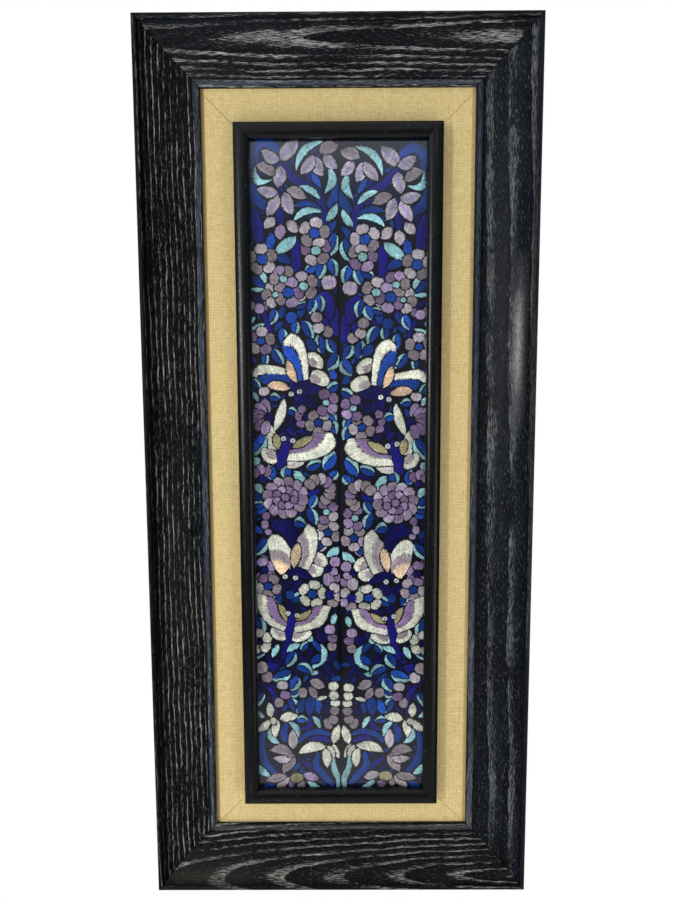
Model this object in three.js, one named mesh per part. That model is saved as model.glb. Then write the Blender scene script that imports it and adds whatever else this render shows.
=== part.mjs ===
// Framed silk embroidery panel: two embroidered silk bands side by side behind glass, in a narrow black
// frame that stands in a linen-covered liner and a wide scooped oak frame.
//
// Millimetres, +Z up. The face looks along -Y and the back lies on the wall, on the plane Y = 0.
// The origin is on the back of the top rail, at the middle of its flat base.
import * as THREE from 'three';

// Outer frame: overall size, and how far its rails reach in over the liner
const frameWidth = 324;
const frameHeight = 737;
const frameDepth = 38;
const lipReach = 49;
const baseWidth = 40.5;

// Outer rail profile, from the outer edge inward and from the back forward
const rimWidth = 4.2;
const rimRound = 1.5;
const rimStep = 4;
const scoopStart = 5.4;
const scoopBottom = 14.8;
const scoopSag = 3.6;
const scoopEnd = 42.8;
const lipGroove = 0.3;
const lipCrest = 16.6;
const lipCrestAt = 45.4;
const lipNose = 13.4;
const rabbetFront = 12;

// Linen liner: the width of linen that shows, and the back of both inner frames
const linenShown = 27.7;
const nestBack = 2;
const linenEdgeRound = 1.2;

// Inner frame: width, the crest of its half-round face, the face's two edges, and the rabbet
const innerWidth = 12.6;
const innerCrest = 28.4;
const innerCrestAt = 6.6;
const innerFaceEdge = 25.6;
const innerRabbetAt = 7.6;
const innerRabbetFront = 20.5;

// What lies in the inner frame's rabbet
const glassThickness = 2;
const silkThickness = 1.2;
const boardThickness = 3;
const silkSeam = 0.4;

// Clearance between neighbouring pieces, and the slack round the liner that lets it and all in it sit low
const fitGap = 0.3;
const nestSlack = 2.2;

// Steps on the round parts of the profiles
const arcSteps = 8;
const scoopSteps = 14;

const railSides = [
  { side: 'top', turn: 0 },
  { side: 'right', turn: Math.PI / 2 },
  { side: 'bottom', turn: Math.PI },
  { side: 'left', turn: -Math.PI / 2 },
];

// Points of a circular arc between two profile points, bowed by sag to the left of the way it runs
function arcPoints(start, end, sag, steps) {
  const chord = end.clone().sub(start);
  const half = chord.length() / 2;
  const radius = (half * half + sag * sag) / (2 * sag);
  const left = new THREE.Vector2(-chord.y, chord.x).normalize();
  const centre = start.clone().addScaledVector(chord, 0.5).addScaledVector(left, sag - radius);
  const from = start.clone().sub(centre);
  const sweep = -2 * Math.asin(half / radius);
  const points = [];
  for (let step = 0; step <= steps; step++) {
    points.push(from.clone().rotateAround(new THREE.Vector2(), (sweep * step) / steps).add(centre));
  }
  return points;
}

// Points of a quarter ellipse from start to end; it leaves start along the first axis named in leaves
function quarterPoints(start, end, leaves, steps) {
  const points = [];
  for (let step = 0; step <= steps; step++) {
    const angle = ((Math.PI / 2) * step) / steps;
    const ahead = Math.sin(angle);
    const aside = 1 - Math.cos(angle);
    const alongX = leaves === 'x' ? ahead : aside;
    const alongY = leaves === 'x' ? aside : ahead;
    points.push(
      new THREE.Vector2(start.x + (end.x - start.x) * alongX, start.y + (end.y - start.y) * alongY),
    );
  }
  return points;
}

function point(inward, forward) {
  return new THREE.Vector2(inward, forward);
}

// Rim bead, steep step, concave scoop, raised lip bead and rabbet
function outerProfile() {
  const rimInner = rimWidth - rimRound;
  return [
    point(0, 0),
    ...quarterPoints(point(0, frameDepth - rimRound), point(rimRound, frameDepth), 'y', arcSteps),
    ...quarterPoints(point(rimInner, frameDepth), point(rimWidth, frameDepth - rimRound), 'x', arcSteps),
    ...arcPoints(
      point(scoopStart, frameDepth - rimStep),
      point(scoopEnd, scoopBottom),
      -scoopSag,
      scoopSteps,
    ),
    ...quarterPoints(point(scoopEnd, scoopBottom + lipGroove), point(lipCrestAt, lipCrest), 'y', arcSteps),
    ...quarterPoints(point(lipCrestAt, lipCrest), point(lipReach, lipNose), 'x', arcSteps).slice(1),
    point(lipReach, rabbetFront),
    point(baseWidth, rabbetFront),
    point(baseWidth, 0),
  ];
}

// Flat rail with its two front edges rounded, wide enough to run from the outer rabbet to the inner frame
function linerProfile() {
  const front = rabbetFront - fitGap;
  const width = lipReach - baseWidth - nestSlack + linenShown - 2 * fitGap;
  return [
    point(0, nestBack),
    ...quarterPoints(point(0, front - linenEdgeRound), point(linenEdgeRound, front), 'y', arcSteps),
    ...quarterPoints(
      point(width - linenEdgeRound, front),
      point(width, front - linenEdgeRound),
      'x',
      arcSteps,
    ),
    point(width, nestBack),
  ];
}

// Half-round face from edge to edge, with the rabbet for the glass behind it
function innerProfile() {
  return [
    point(0, nestBack),
    ...quarterPoints(point(0, innerFaceEdge), point(innerCrestAt, innerCrest), 'y', arcSteps),
    ...quarterPoints(
      point(innerCrestAt, innerCrest),
      point(innerWidth, innerFaceEdge),
      'x',
      arcSteps,
    ).slice(1),
    point(innerWidth, innerRabbetFront),
    point(innerRabbetAt, innerRabbetFront),
    point(innerRabbetAt, nestBack),
  ];
}

// One rail: the profile run along X with both ends cut at 45 degrees. Its outer edge lies on Z = 0,
// it reaches inward along -Z and forward along -Y, and its back is on the profile's own base line.
function mitredRail(profile, halfRun) {
  const mitreShift = fitGap / Math.SQRT2;
  const outline = new THREE.Shape([...profile].reverse());
  const geometry = new THREE.ExtrudeGeometry(outline, { depth: 1, steps: 1, bevelEnabled: false });
  const position = geometry.attributes.position;
  for (let i = 0; i < position.count; i++) {
    const inward = position.getX(i);
    const forward = position.getY(i);
    const end = position.getZ(i) > 0.5 ? -1 : 1;
    position.setXYZ(i, end * (halfRun - inward - mitreShift), -forward, -inward);
  }
  geometry.computeVertexNormals();
  return geometry;
}

// Four mitred rails round a rectangle, each its own mesh turned about the middle of the frame
function railFrame(name, profile, halfWidth, halfHeight, look) {
  const frame = new THREE.Group();
  for (const { side, turn } of railSides) {
    const upright = side === 'left' || side === 'right';
    const halfRun = upright ? halfHeight : halfWidth;
    const reach = upright ? halfWidth : halfHeight;
    const rail = new THREE.Mesh(mitredRail(profile, halfRun), new THREE.MeshStandardMaterial(look));
    rail.name = `${name}_rail_${side}`;
    rail.rotation.y = turn;
    rail.position.set(reach * Math.sin(turn), 0, reach * Math.cos(turn));
    frame.add(rail);
  }
  return frame;
}

// A flat sheet or board whose front lies the given way forward of the back plane
function flatSheet(name, width, height, thickness, front, look) {
  const geometry = new THREE.BoxGeometry(width, thickness, height);
  const sheet = new THREE.Mesh(geometry, new THREE.MeshStandardMaterial(look));
  sheet.name = name;
  sheet.position.y = thickness / 2 - front;
  return sheet;
}

const blackOak = { color: 0x26272b, roughness: 0.55, metalness: 0 };
const naturalLinen = { color: 0xd1bc83, roughness: 0.9, metalness: 0 };
const blackLacquer = { color: 0x15161a, roughness: 0.35, metalness: 0 };
const clearGlass = { color: 0xeef4f2, roughness: 0.03, metalness: 0, transparent: true, opacity: 0.2 };
const blackSilk = { color: 0x1b1a22, roughness: 0.5, metalness: 0 };
const brownBoard = { color: 0x8a7a62, roughness: 0.9, metalness: 0 };

const outerFrame = railFrame('outer', outerProfile(), frameWidth / 2, frameHeight / 2, blackOak);

// The nest is the liner and all that stands in it, resting low in the outer frame's rabbet
const nest = new THREE.Group();
nest.position.z = -nestSlack;

const linerHalfWidth = frameWidth / 2 - baseWidth - fitGap - nestSlack;
const linerHalfHeight = frameHeight / 2 - baseWidth - fitGap - nestSlack;
nest.add(railFrame('liner', linerProfile(), linerHalfWidth, linerHalfHeight, naturalLinen));

const innerHalfWidth = frameWidth / 2 - lipReach - linenShown;
const innerHalfHeight = frameHeight / 2 - lipReach - linenShown;
nest.add(railFrame('inner', innerProfile(), innerHalfWidth, innerHalfHeight, blackLacquer));

const pocketWidth = 2 * (innerHalfWidth - innerRabbetAt - fitGap);
const pocketHeight = 2 * (innerHalfHeight - innerRabbetAt - fitGap);
const glassFront = innerRabbetFront - fitGap;
const silkFront = glassFront - glassThickness - fitGap;
const boardFront = silkFront - silkThickness - fitGap;
nest.add(flatSheet('glass_pane', pocketWidth, pocketHeight, glassThickness, glassFront, clearGlass));
nest.add(flatSheet('backing_board', pocketWidth, pocketHeight, boardThickness, boardFront, brownBoard));

const bandWidth = (pocketWidth - silkSeam) / 2;
for (const [side, sign] of [['left', -1], ['right', 1]]) {
  const band = flatSheet(`silk_band_${side}`, bandWidth, pocketHeight, silkThickness, silkFront, blackSilk);
  band.position.x = (sign * (bandWidth + silkSeam)) / 2;
  nest.add(band);
}

const group = new THREE.Group();
const hung = new THREE.Group();
hung.position.z = (baseWidth - frameHeight) / 2;
hung.add(outerFrame, nest);
group.add(hung);

export default group;
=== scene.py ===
import functools
import math

import bpy
import numpy as np
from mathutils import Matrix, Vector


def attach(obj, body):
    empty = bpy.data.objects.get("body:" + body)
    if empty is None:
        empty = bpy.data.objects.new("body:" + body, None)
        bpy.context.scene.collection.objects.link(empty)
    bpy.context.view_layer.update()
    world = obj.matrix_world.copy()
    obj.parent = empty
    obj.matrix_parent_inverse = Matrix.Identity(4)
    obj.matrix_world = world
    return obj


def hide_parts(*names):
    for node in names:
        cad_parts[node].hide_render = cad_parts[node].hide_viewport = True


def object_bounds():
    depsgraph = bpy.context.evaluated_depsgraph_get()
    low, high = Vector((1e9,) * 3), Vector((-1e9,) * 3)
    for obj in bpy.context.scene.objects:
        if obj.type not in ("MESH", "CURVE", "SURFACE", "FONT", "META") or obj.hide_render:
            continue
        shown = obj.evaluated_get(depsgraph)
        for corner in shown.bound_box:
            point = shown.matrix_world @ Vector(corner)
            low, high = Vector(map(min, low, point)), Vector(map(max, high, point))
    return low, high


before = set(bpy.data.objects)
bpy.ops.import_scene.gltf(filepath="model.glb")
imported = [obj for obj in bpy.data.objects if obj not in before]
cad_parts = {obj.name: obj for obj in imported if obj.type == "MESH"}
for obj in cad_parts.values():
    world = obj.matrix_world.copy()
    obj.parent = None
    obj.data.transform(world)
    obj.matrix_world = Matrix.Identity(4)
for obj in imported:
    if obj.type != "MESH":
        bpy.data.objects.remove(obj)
cadLow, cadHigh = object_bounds()
panelCentre = (cadLow + cadHigh) / 2
panelFront = cadLow.y
print("frame loaded, panel", [round(v, 3) for v in (cadHigh - cadLow)])


cameraLook = {
    "distance": 0.6314,  # from the outer rim's plane
    "rise": 0.0956,  # above the middle of the panel
    "aside": 0.0007,
    "tilt": (83.563, 0.238, 0.185),  # degrees
    "lens": 30.68,
}


def showObject(name, data):
    # a new object at the origin, in the scene
    made = bpy.data.objects.new(name, data)
    bpy.context.scene.collection.objects.link(made)
    return made


def makeCamera(look):
    data = bpy.data.cameras.new("camera")
    data.lens = look["lens"]
    data.sensor_width = 36
    data.clip_start = 0.01
    camera = showObject("camera", data)
    camera.location = (look["aside"], panelFront - look["distance"], panelCentre.z + look["rise"])
    camera.rotation_euler = [math.radians(turn) for turn in look["tilt"]]
    bpy.context.scene.camera = camera


def linear(hexColour):
    # sRGB hex to linear: c / 12.92 up to 0.04045, else ((c + 0.055) / 1.055) to the power 2.4
    channels = [int(hexColour[i:i + 2], 16) / 255 for i in (1, 3, 5)]
    return [c / 12.92 if c <= 0.04045 else ((c + 0.055) / 1.055) ** 2.4 for c in channels] + [1.0]


def addNode(tree, kind, *values, out=0, stops=(), **settings):
    # one node with its settings and links; it gives the output named by out. A kind such as Math.ADD also
    # says how it works, and Mix is of colours: share, below, above. Values fill the inputs in order, or one
    # dictionary names them: an output is linked, a hex colour turned to linear, anything else set as it is.
    # Stops are a ramp's places with their colours or greys
    kind, _, way = kind.partition(".")
    if kind == "Math":
        settings["operation"] = way
    if kind == "Mix":
        settings.update(data_type="RGBA", blend_type=way or "MIX")
        values, out = [dict(zip((0, 6, 7), values))], 2
    node = tree.nodes.new("ShaderNode" + kind)
    for name, value in settings.items():
        setattr(node, name, value)
    named = len(values) == 1 and isinstance(values[0], dict)
    for socket, value in (values[0] if named else dict(enumerate(values))).items():
        if isinstance(value, bpy.types.NodeSocket):
            tree.links.new(value, node.inputs[socket])
        else:
            node.inputs[socket].default_value = linear(value) if isinstance(value, str) else value
    for _ in stops[2:]:
        node.color_ramp.elements.new(0.5)
    for number, (place, tone) in enumerate(stops):
        element = node.color_ramp.elements[number]
        element.position = place
        element.color = linear(tone) if isinstance(tone, str) else (tone, tone, tone, 1)
    return node.outputs[out] if node.outputs else None


def newMaterial(name):
    # an empty material, and addNode for its own tree
    material = bpy.data.materials.new(name)
    material.use_nodes = True
    material.node_tree.nodes.clear()
    return material, functools.partial(addNode, material.node_tree)


def finishMaterial(add, height, strength, depth, sockets):
    # relief of a given strength and depth (metres) from a height, one shader with its sockets, and the output
    relief = add("Bump", {"Strength": strength, "Distance": depth, "Height": height})
    add("OutputMaterial", add("BsdfPrincipled", {"Normal": relief, **sockets}))


lightLook = {
    "left": {"turn": -31, "rise": 6, "away": 1.5, "size": (0.13, 0.48), "watts": 9.0},
    "right": {"turn": 34, "rise": -16, "away": 1.5, "size": (0.30, 0.8), "watts": 2.9},
}


def makeLights(looks):
    # each lamp stands at a turn and a rise round the panel's middle, and faces it
    for name, look in looks.items():
        turn, rise = math.radians(look["turn"]), math.radians(look["rise"])
        data = bpy.data.lights.new(name + "Light", "AREA")
        data.shape = "RECTANGLE"
        data.size, data.size_y = look["size"]
        data.energy = look["watts"]
        lamp = showObject(name + "Light", data)
        flat = look["away"] * math.cos(rise)
        lamp.location = (flat * math.sin(turn), panelFront - flat * math.cos(turn),
                         panelCentre.z + look["away"] * math.sin(rise))
        lamp.rotation_euler = (math.pi / 2 - rise, 0, turn)


# the room's light by height (sine of elevation) and by side: lit floor, dim far wall, bright ceiling,
# and less light from the right
roomLight = {
    "height": [(-1.0, 0.62), (-0.58, 0.54), (-0.49, 0.43), (-0.45, 0.34), (-0.41, 0.14), (-0.37, 0.012),
               (-0.22, 0.018), (-0.17, 0.06), (-0.06, 0.07), (-0.01, 0.13), (0.10, 0.13), (0.14, 0.15),
               (0.18, "#76808f"), (0.22, "#9aa7b8"), (0.26, "#dceafa"), (0.31, "#e7f3ff"), (0.38, 0.55),
               (1.0, 1.0)],
    "side": [(-1.0, 1.0), (-0.2, 0.82), (0.3, 0.55), (1.0, 0.16)],
    "strength": 1.45,
}


def makeRoom(room):
    # the camera sees plain white; the panel is lit by the room
    world = bpy.data.worlds.new("room")
    bpy.context.scene.world = world
    world.use_nodes = True
    world.node_tree.nodes.clear()
    add = functools.partial(addNode, world.node_tree)
    direction = add("TexCoord", out="Generated")
    light = []
    for axis, stops in (("Z", room["height"]), ("X", room["side"])):
        share = add("Math.MULTIPLY_ADD", add("SeparateXYZ", direction, out=axis), 0.5, 0.5)
        light.append(add("ValToRGB", share, stops=[((s + 1) / 2, v) for s, v in stops]))
    colour = add("Mix.MULTIPLY", 1.0, *light)
    lit = add("Background", {"Color": colour, "Strength": room["strength"]})
    plain = add("Background", {"Color": (1, 1, 1, 1), "Strength": 1.0})
    add("OutputWorld", add("MixShader", add("LightPath", out="Is Camera Ray"), lit, plain))


def fillMesh(mesh, points, loops, sizes, smooth):
    # loops lists the corners of all faces in turn, sizes how many corners each has; the first ones are smooth
    mesh.vertices.add(len(points))
    mesh.vertices.foreach_set("co", np.asarray(points, np.float32).ravel())
    mesh.loops.add(len(loops))
    mesh.loops.foreach_set("vertex_index", loops)
    mesh.polygons.add(len(sizes))
    mesh.polygons.foreach_set("loop_start", np.concatenate([[0], np.cumsum(sizes)[:-1]]).astype(np.int32))
    mesh.update(calc_edges=True)
    mesh.polygons.foreach_set("use_smooth", np.arange(len(sizes)) < smooth)


def putMesh(name, points, quads, material, uv=None, values=None, caps=()):
    # points (n, 3), quads (m, 4) and end caps become one smooth object at the origin
    mesh = bpy.data.meshes.new(name)
    quads = np.asarray(quads, np.int32)
    loops = np.concatenate([quads.ravel()] + [np.asarray(cap, np.int32) for cap in caps])
    fillMesh(mesh, points, loops, [4] * len(quads) + [len(cap) for cap in caps], len(quads))
    if uv is not None:
        layer = mesh.uv_layers.new(name="surface")
        layer.uv.foreach_set("vector", np.asarray(uv, np.float32)[loops].ravel())
    for key, value in (values or {}).items():
        mesh.attributes.new(key, "FLOAT", "POINT").data.foreach_set("value", np.float32(value).ravel())
    mesh.materials.append(material)
    return showObject(name, mesh)


def makeFloor():
    # white seamless paper, a little below the panel
    material, add = newMaterial("seamlessPaper")
    paper = add("BsdfDiffuse", {"Color": "#e8e8e6"})
    glow = add("Emission", {"Color": (1, 1, 1, 1), "Strength": 0.5})
    white = add("Emission", {"Color": (1, 1, 1, 1), "Strength": 1.0})
    lit = add("AddShader", paper, glow)
    add("OutputMaterial", add("MixShader", add("LightPath", out="Is Camera Ray"), lit, white))
    turn = np.linspace(0, 2 * np.pi, 64, endpoint=False)
    rim = np.stack([5 * np.cos(turn), 5 * np.sin(turn), np.full(64, cadLow.z - 0.4)], 1)
    floor = putMesh("floor", rim, np.zeros((0, 4)), material, caps=[range(64)])
    floor.visible_glossy = False  # the glass mirrors the room instead


makeCamera(cameraLook)
makeLights(lightLook)
makeRoom(roomLight)
makeFloor()
bpy.context.scene.view_settings.view_transform = "Standard"
print("camera, light and floor ready")


def gridQuads(rows, columns, closed=False):
    # quads of a grid of points, row by row; closed joins the last column to the first
    row = np.arange(rows - 1)[:, None]
    column = np.arange(columns if closed else columns - 1)[None, :]
    after = (column + 1) % columns
    corners = [row * columns + column, row * columns + after,
               (row + 1) * columns + after, (row + 1) * columns + column]
    return np.stack(corners, -1).reshape(-1, 4)


def line(start, end, steps):
    # straight run of points, both ends kept
    t = np.linspace(0, 1, steps)[:, None]
    return np.array(start, float) * (1 - t) + np.array(end, float) * t


def quarter(start, end, leaves, steps=9):
    # quarter ellipse that leaves start along u (inward) or along v (forward)
    angle = np.linspace(0, np.pi / 2, steps)
    ahead, aside = np.sin(angle), 1 - np.cos(angle)
    share = np.stack([ahead, aside] if leaves == "u" else [aside, ahead], 1)
    start, end = np.array(start, float), np.array(end, float)
    return start + (end - start) * share


def hollow(start, end, sag, steps):
    # circular arc that sags below its chord
    start, end = np.array(start, float), np.array(end, float)
    half = np.hypot(*(end - start)) / 2
    along = (end - start) / (2 * half)
    down = np.array([along[1], -along[0]])
    radius = (half * half + sag * sag) / (2 * sag)
    turn = np.arcsin(half / radius) * np.linspace(-1, 1, steps)[:, None]
    centre = (start + end) / 2 + down * (sag - radius)
    return centre + radius * (np.sin(turn) * along + np.cos(turn) * down)


def easeCorners(points, reach):
    # each corner that turns by more than half a radian becomes three points on a round that starts and ends
    # reach away from it; the middle one lies 1 - sqrt(0.5), or 0.29, of both cuts from the corner
    before = points - np.roll(points, 1, axis=0)
    after = np.roll(points, -1, axis=0) - points
    lengthIn, lengthOut = np.hypot(*before.T), np.hypot(*after.T)
    cosine = (before * after).sum(1) / np.maximum(lengthIn * lengthOut, 1e-9)
    sharp = np.arccos(np.clip(cosine, -1, 1)) > 0.5
    cutIn = np.minimum(reach, 0.4 * lengthIn)[:, None] * before / lengthIn[:, None]
    cutOut = np.minimum(reach, 0.4 * lengthOut)[:, None] * after / lengthOut[:, None]
    trio = np.stack([points - cutIn, points - 0.29 * cutIn + 0.29 * cutOut, points + cutOut], 1)
    keep = np.stack([sharp, np.ones(len(points), bool), sharp], 1)
    trio[~sharp, 1] = points[~sharp]
    return trio[keep]


def arcLengths(points):
    # the way along a line of points, up to each of them
    return np.concatenate([[0], np.cumsum(np.hypot(*np.diff(points, axis=0).T))])


# Millimetres from here on, about the CAD's own origin; forward is away from the wall, along -y
sides = {"top": 0, "right": 90, "bottom": 180, "left": -90}  # how far each rail is turned about Y
frameMiddle = panelCentre.z * 1000
frameHalf = (162.0, 368.5)  # of the outer edge: half the width and half the height
mitreGap = 0.03  # left open at each mitre by each rail


def sweepRail(name, profile, side, half, middle, material, steps):
    # the profile (inward, forward, in mm) is carried along the rail, and both ends are cut at 45 degrees:
    # run = t (half run - inward), t from -1 to 1, then turned about Y to its own edge of the frame
    turn = math.radians(sides[side])
    upright = side in ("left", "right")
    halfRun, reach = (half[1], half[0]) if upright else half
    t = np.sin(np.linspace(-1, 1, steps) * np.pi / 2)[:, None]
    inward, forward = profile[None, :, 0], profile[None, :, 1]
    run = t * (halfRun - inward - mitreGap)
    outward = np.broadcast_to(reach - inward, run.shape)
    x = run * math.cos(turn) + outward * math.sin(turn)
    z = -run * math.sin(turn) + outward * math.cos(turn)
    y = np.broadcast_to(-forward, run.shape)
    points = np.stack([x, y, z + middle], -1) / 1000
    across = np.broadcast_to(arcLengths(profile), run.shape)
    fromMitre = (1 - np.abs(t)) * (halfRun - inward) * math.sqrt(0.5)
    count = len(profile)
    last = (steps - 1) * count
    caps = [range(count - 1, -1, -1), range(last, last + count)]
    quads = gridQuads(steps, count, closed=True)
    uv = np.stack([run, across], -1).reshape(-1, 2)
    rail = putMesh(name, points.reshape(-1, 3), quads, material, uv, {"fromMitre": fromMitre}, caps)
    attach(rail, "root")
    return rail


def arcPlaces(profile, *inwardAndForward):
    # how far along the profile its nearest point to each of the given (inward, forward) places lies
    arc = arcLengths(profile)
    return [arc[np.argmin(np.hypot(*(profile - place).T))] for place in np.array(inwardAndForward)]


def surfacePlace(add):
    # the rail's own surface in millimetres: both axes together, along the run, and across the profile
    surface = add("UVMap", uv_map="surface")
    return surface, add("SeparateXYZ", surface, out="X"), add("SeparateXYZ", surface, out="Y")


def grainNoise(add, run, across, along, over, detail, start=0.0, level=0.0, rough=0.5):
    # noise with cells of along by over millimetres, longest with the grain; start and level pick its place
    point = add("CombineXYZ", add("Math.MULTIPLY_ADD", run, 1 / along, start),
                add("Math.MULTIPLY", across, 1 / over), level)
    return add("TexNoise", {"Vector": point, "Scale": 1.0, "Detail": detail, "Roughness": rough})


def fallFrom(add, away, reach):
    # 1 where away is 0, down to 0 at reach millimetres
    return add("Math.SUBTRACT", 1.0, add("Math.DIVIDE", away, reach), use_clamp=True)


def nearTo(add, across, where, reach):
    # 1 on one line of the profile, down to 0 at reach millimetres from it
    return fallFrom(add, add("Math.ABSOLUTE", add("Math.SUBTRACT", across, where)), reach)


def nearMitre(add, reach):
    # 1 at the cut of the mitre, down to 0 at reach millimetres from it
    return fallFrom(add, add("Attribute", attribute_name="fromMitre", out="Fac"), reach)


# Outer rails: millimetres, from the outer edge inward and from the wall forward
oakRail = {
    "depth": 38.0,
    "rimWidth": 4.2, "rimRound": 1.5, "rimStep": 4.0,
    "scoopStart": 5.4, "scoopEnd": 42.8, "scoopBottom": 14.8, "scoopSag": 3.6,
    "grooveDepth": 0.3,
    "lipCrest": 16.6, "lipCrestAt": 45.4, "lipNose": 13.4, "lipReach": 49.0,
    "rabbetFront": 12.0, "baseWidth": 40.5,
    "steps": 72,
}


def oakProfile(p):
    # wall side, outer face, round rim, steep step, hollow scoop, groove, lip bead, rabbet, back face
    rimInner = p["rimWidth"] - p["rimRound"]
    scoopTop = (p["scoopStart"], p["depth"] - p["rimStep"])
    scoopFoot = (p["scoopEnd"], p["scoopBottom"])
    outline = np.concatenate([
        line((0, 0), (0, p["depth"] - p["rimRound"] - 0.5), 8),
        quarter((0, p["depth"] - p["rimRound"]), (p["rimRound"], p["depth"]), "v"),
        quarter((rimInner, p["depth"]), (p["rimWidth"], p["depth"] - p["rimRound"]), "u"),
        hollow(scoopTop, scoopFoot, p["scoopSag"], 26),
        quarter((p["scoopEnd"], p["scoopBottom"] + p["grooveDepth"]), (p["lipCrestAt"], p["lipCrest"]), "v"),
        quarter((p["lipCrestAt"], p["lipCrest"]), (p["lipReach"], p["lipNose"]), "u")[1:],
        line((p["lipReach"], p["rabbetFront"]), (p["baseWidth"], p["rabbetFront"]), 3),
        line((p["baseWidth"], 0), (2, 0), 6),
    ])
    return easeCorners(outline, 0.35)


# Where the boards were cut: heart is the middle line of the ring pattern across the rail (mm along the
# profile) and tilt how far it leans off the run; depth and slope set how fast the arches open along the run;
# ring is the ring width, band the share of it that is open-grained, and drift and ripple how far the rings
# wander (mm). pore is the length and width of a dash of pores, wax how much pale wax is left in them, ticks
# its share in the small pores between the bands, and blue its cold tone. ink is the stain where it is thin,
# lip the tone of a painted sheen on the lip's crest, shade how dark a painted shade lies under the rim, and
# wear how much of the rim is rubbed to the wood. The last list holds patches of other tone: each one's middle
# along the run and its reach, its middle across the profile and its reach, strength and colour. The two pale
# patches on the right rail are a painted highlight of a lamp in the scoop
oakBoards = {
    "top": {
        "heart": 57.7, "tilt": 0.0, "depth": 12.4, "slope": -0.024, "ring": 4.3, "band": 0.34,
        "drift": 1.6, "ripple": 1.1, "pore": (7.5, 0.42), "wax": 0.80, "ticks": 0.28, "blue": 0.15,
        "ink": "#101319", "lip": "#5f6670", "shade": 0.2, "wear": 0.5, "seed": 5.0,
        "patchesAndHighlight": [(-100, 85, 47, 8, 1.6, "#14181f")]},
    "bottom": {
        "heart": 49.5, "tilt": 0.01, "depth": 14.8, "slope": 0.090, "ring": 4.8, "band": 0.26,
        "drift": 1.8, "ripple": 1.1, "pore": (8.5, 0.44), "wax": 0.82, "ticks": 0.28, "blue": 0.0,
        "ink": "#0e0e0c", "lip": "#5c5e62", "shade": 0.2, "wear": 0.3, "seed": 11.0,
        "patchesAndHighlight": [(128, 66, 50, 13, 1.0, "#2b2a26"), (0, 500, 72, 18, 0.5, "#0a0a09")]},
    "left": {
        "heart": 8.0, "tilt": 0.0, "depth": 26.0, "slope": 0.012, "ring": 4.3, "band": 0.16,
        "drift": 2.0, "ripple": 1.0, "pore": (7.0, 0.39), "wax": 0.80, "ticks": 0.28, "blue": 0.05,
        "ink": "#0a0c10", "lip": "#566070", "shade": 0.9, "wear": 0.4, "seed": 23.0,
        "patchesAndHighlight": [(-60, 60, 62, 8, 0.35, "#25262a")]},
    "right": {
        "heart": 119.0, "tilt": 0.018, "depth": 5.0, "slope": 0.0, "ring": 19.0, "band": 0.29,
        "drift": 2.4, "ripple": 1.6, "pore": (6.0, 0.42), "wax": 0.40, "ticks": 0.62, "blue": 0.35,
        "ink": "#0f151e", "lip": "#464f5e", "shade": 0.1, "wear": 1.6, "seed": 37.0,
        # the first two patches here are a painted highlight of a lamp in the scoop
        "patchesAndHighlight": [(-110, 80, 55.5, 9, 0.42, "#7c7d7f"), (-112, 46, 56.5, 6, 0.66, "#a3a3a0"),
                  (0, 700, 86, 4.0, 0.9, "#0b0c0e"), (0, 700, 40, 7, 1.0, "#12161e")]},
}


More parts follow.
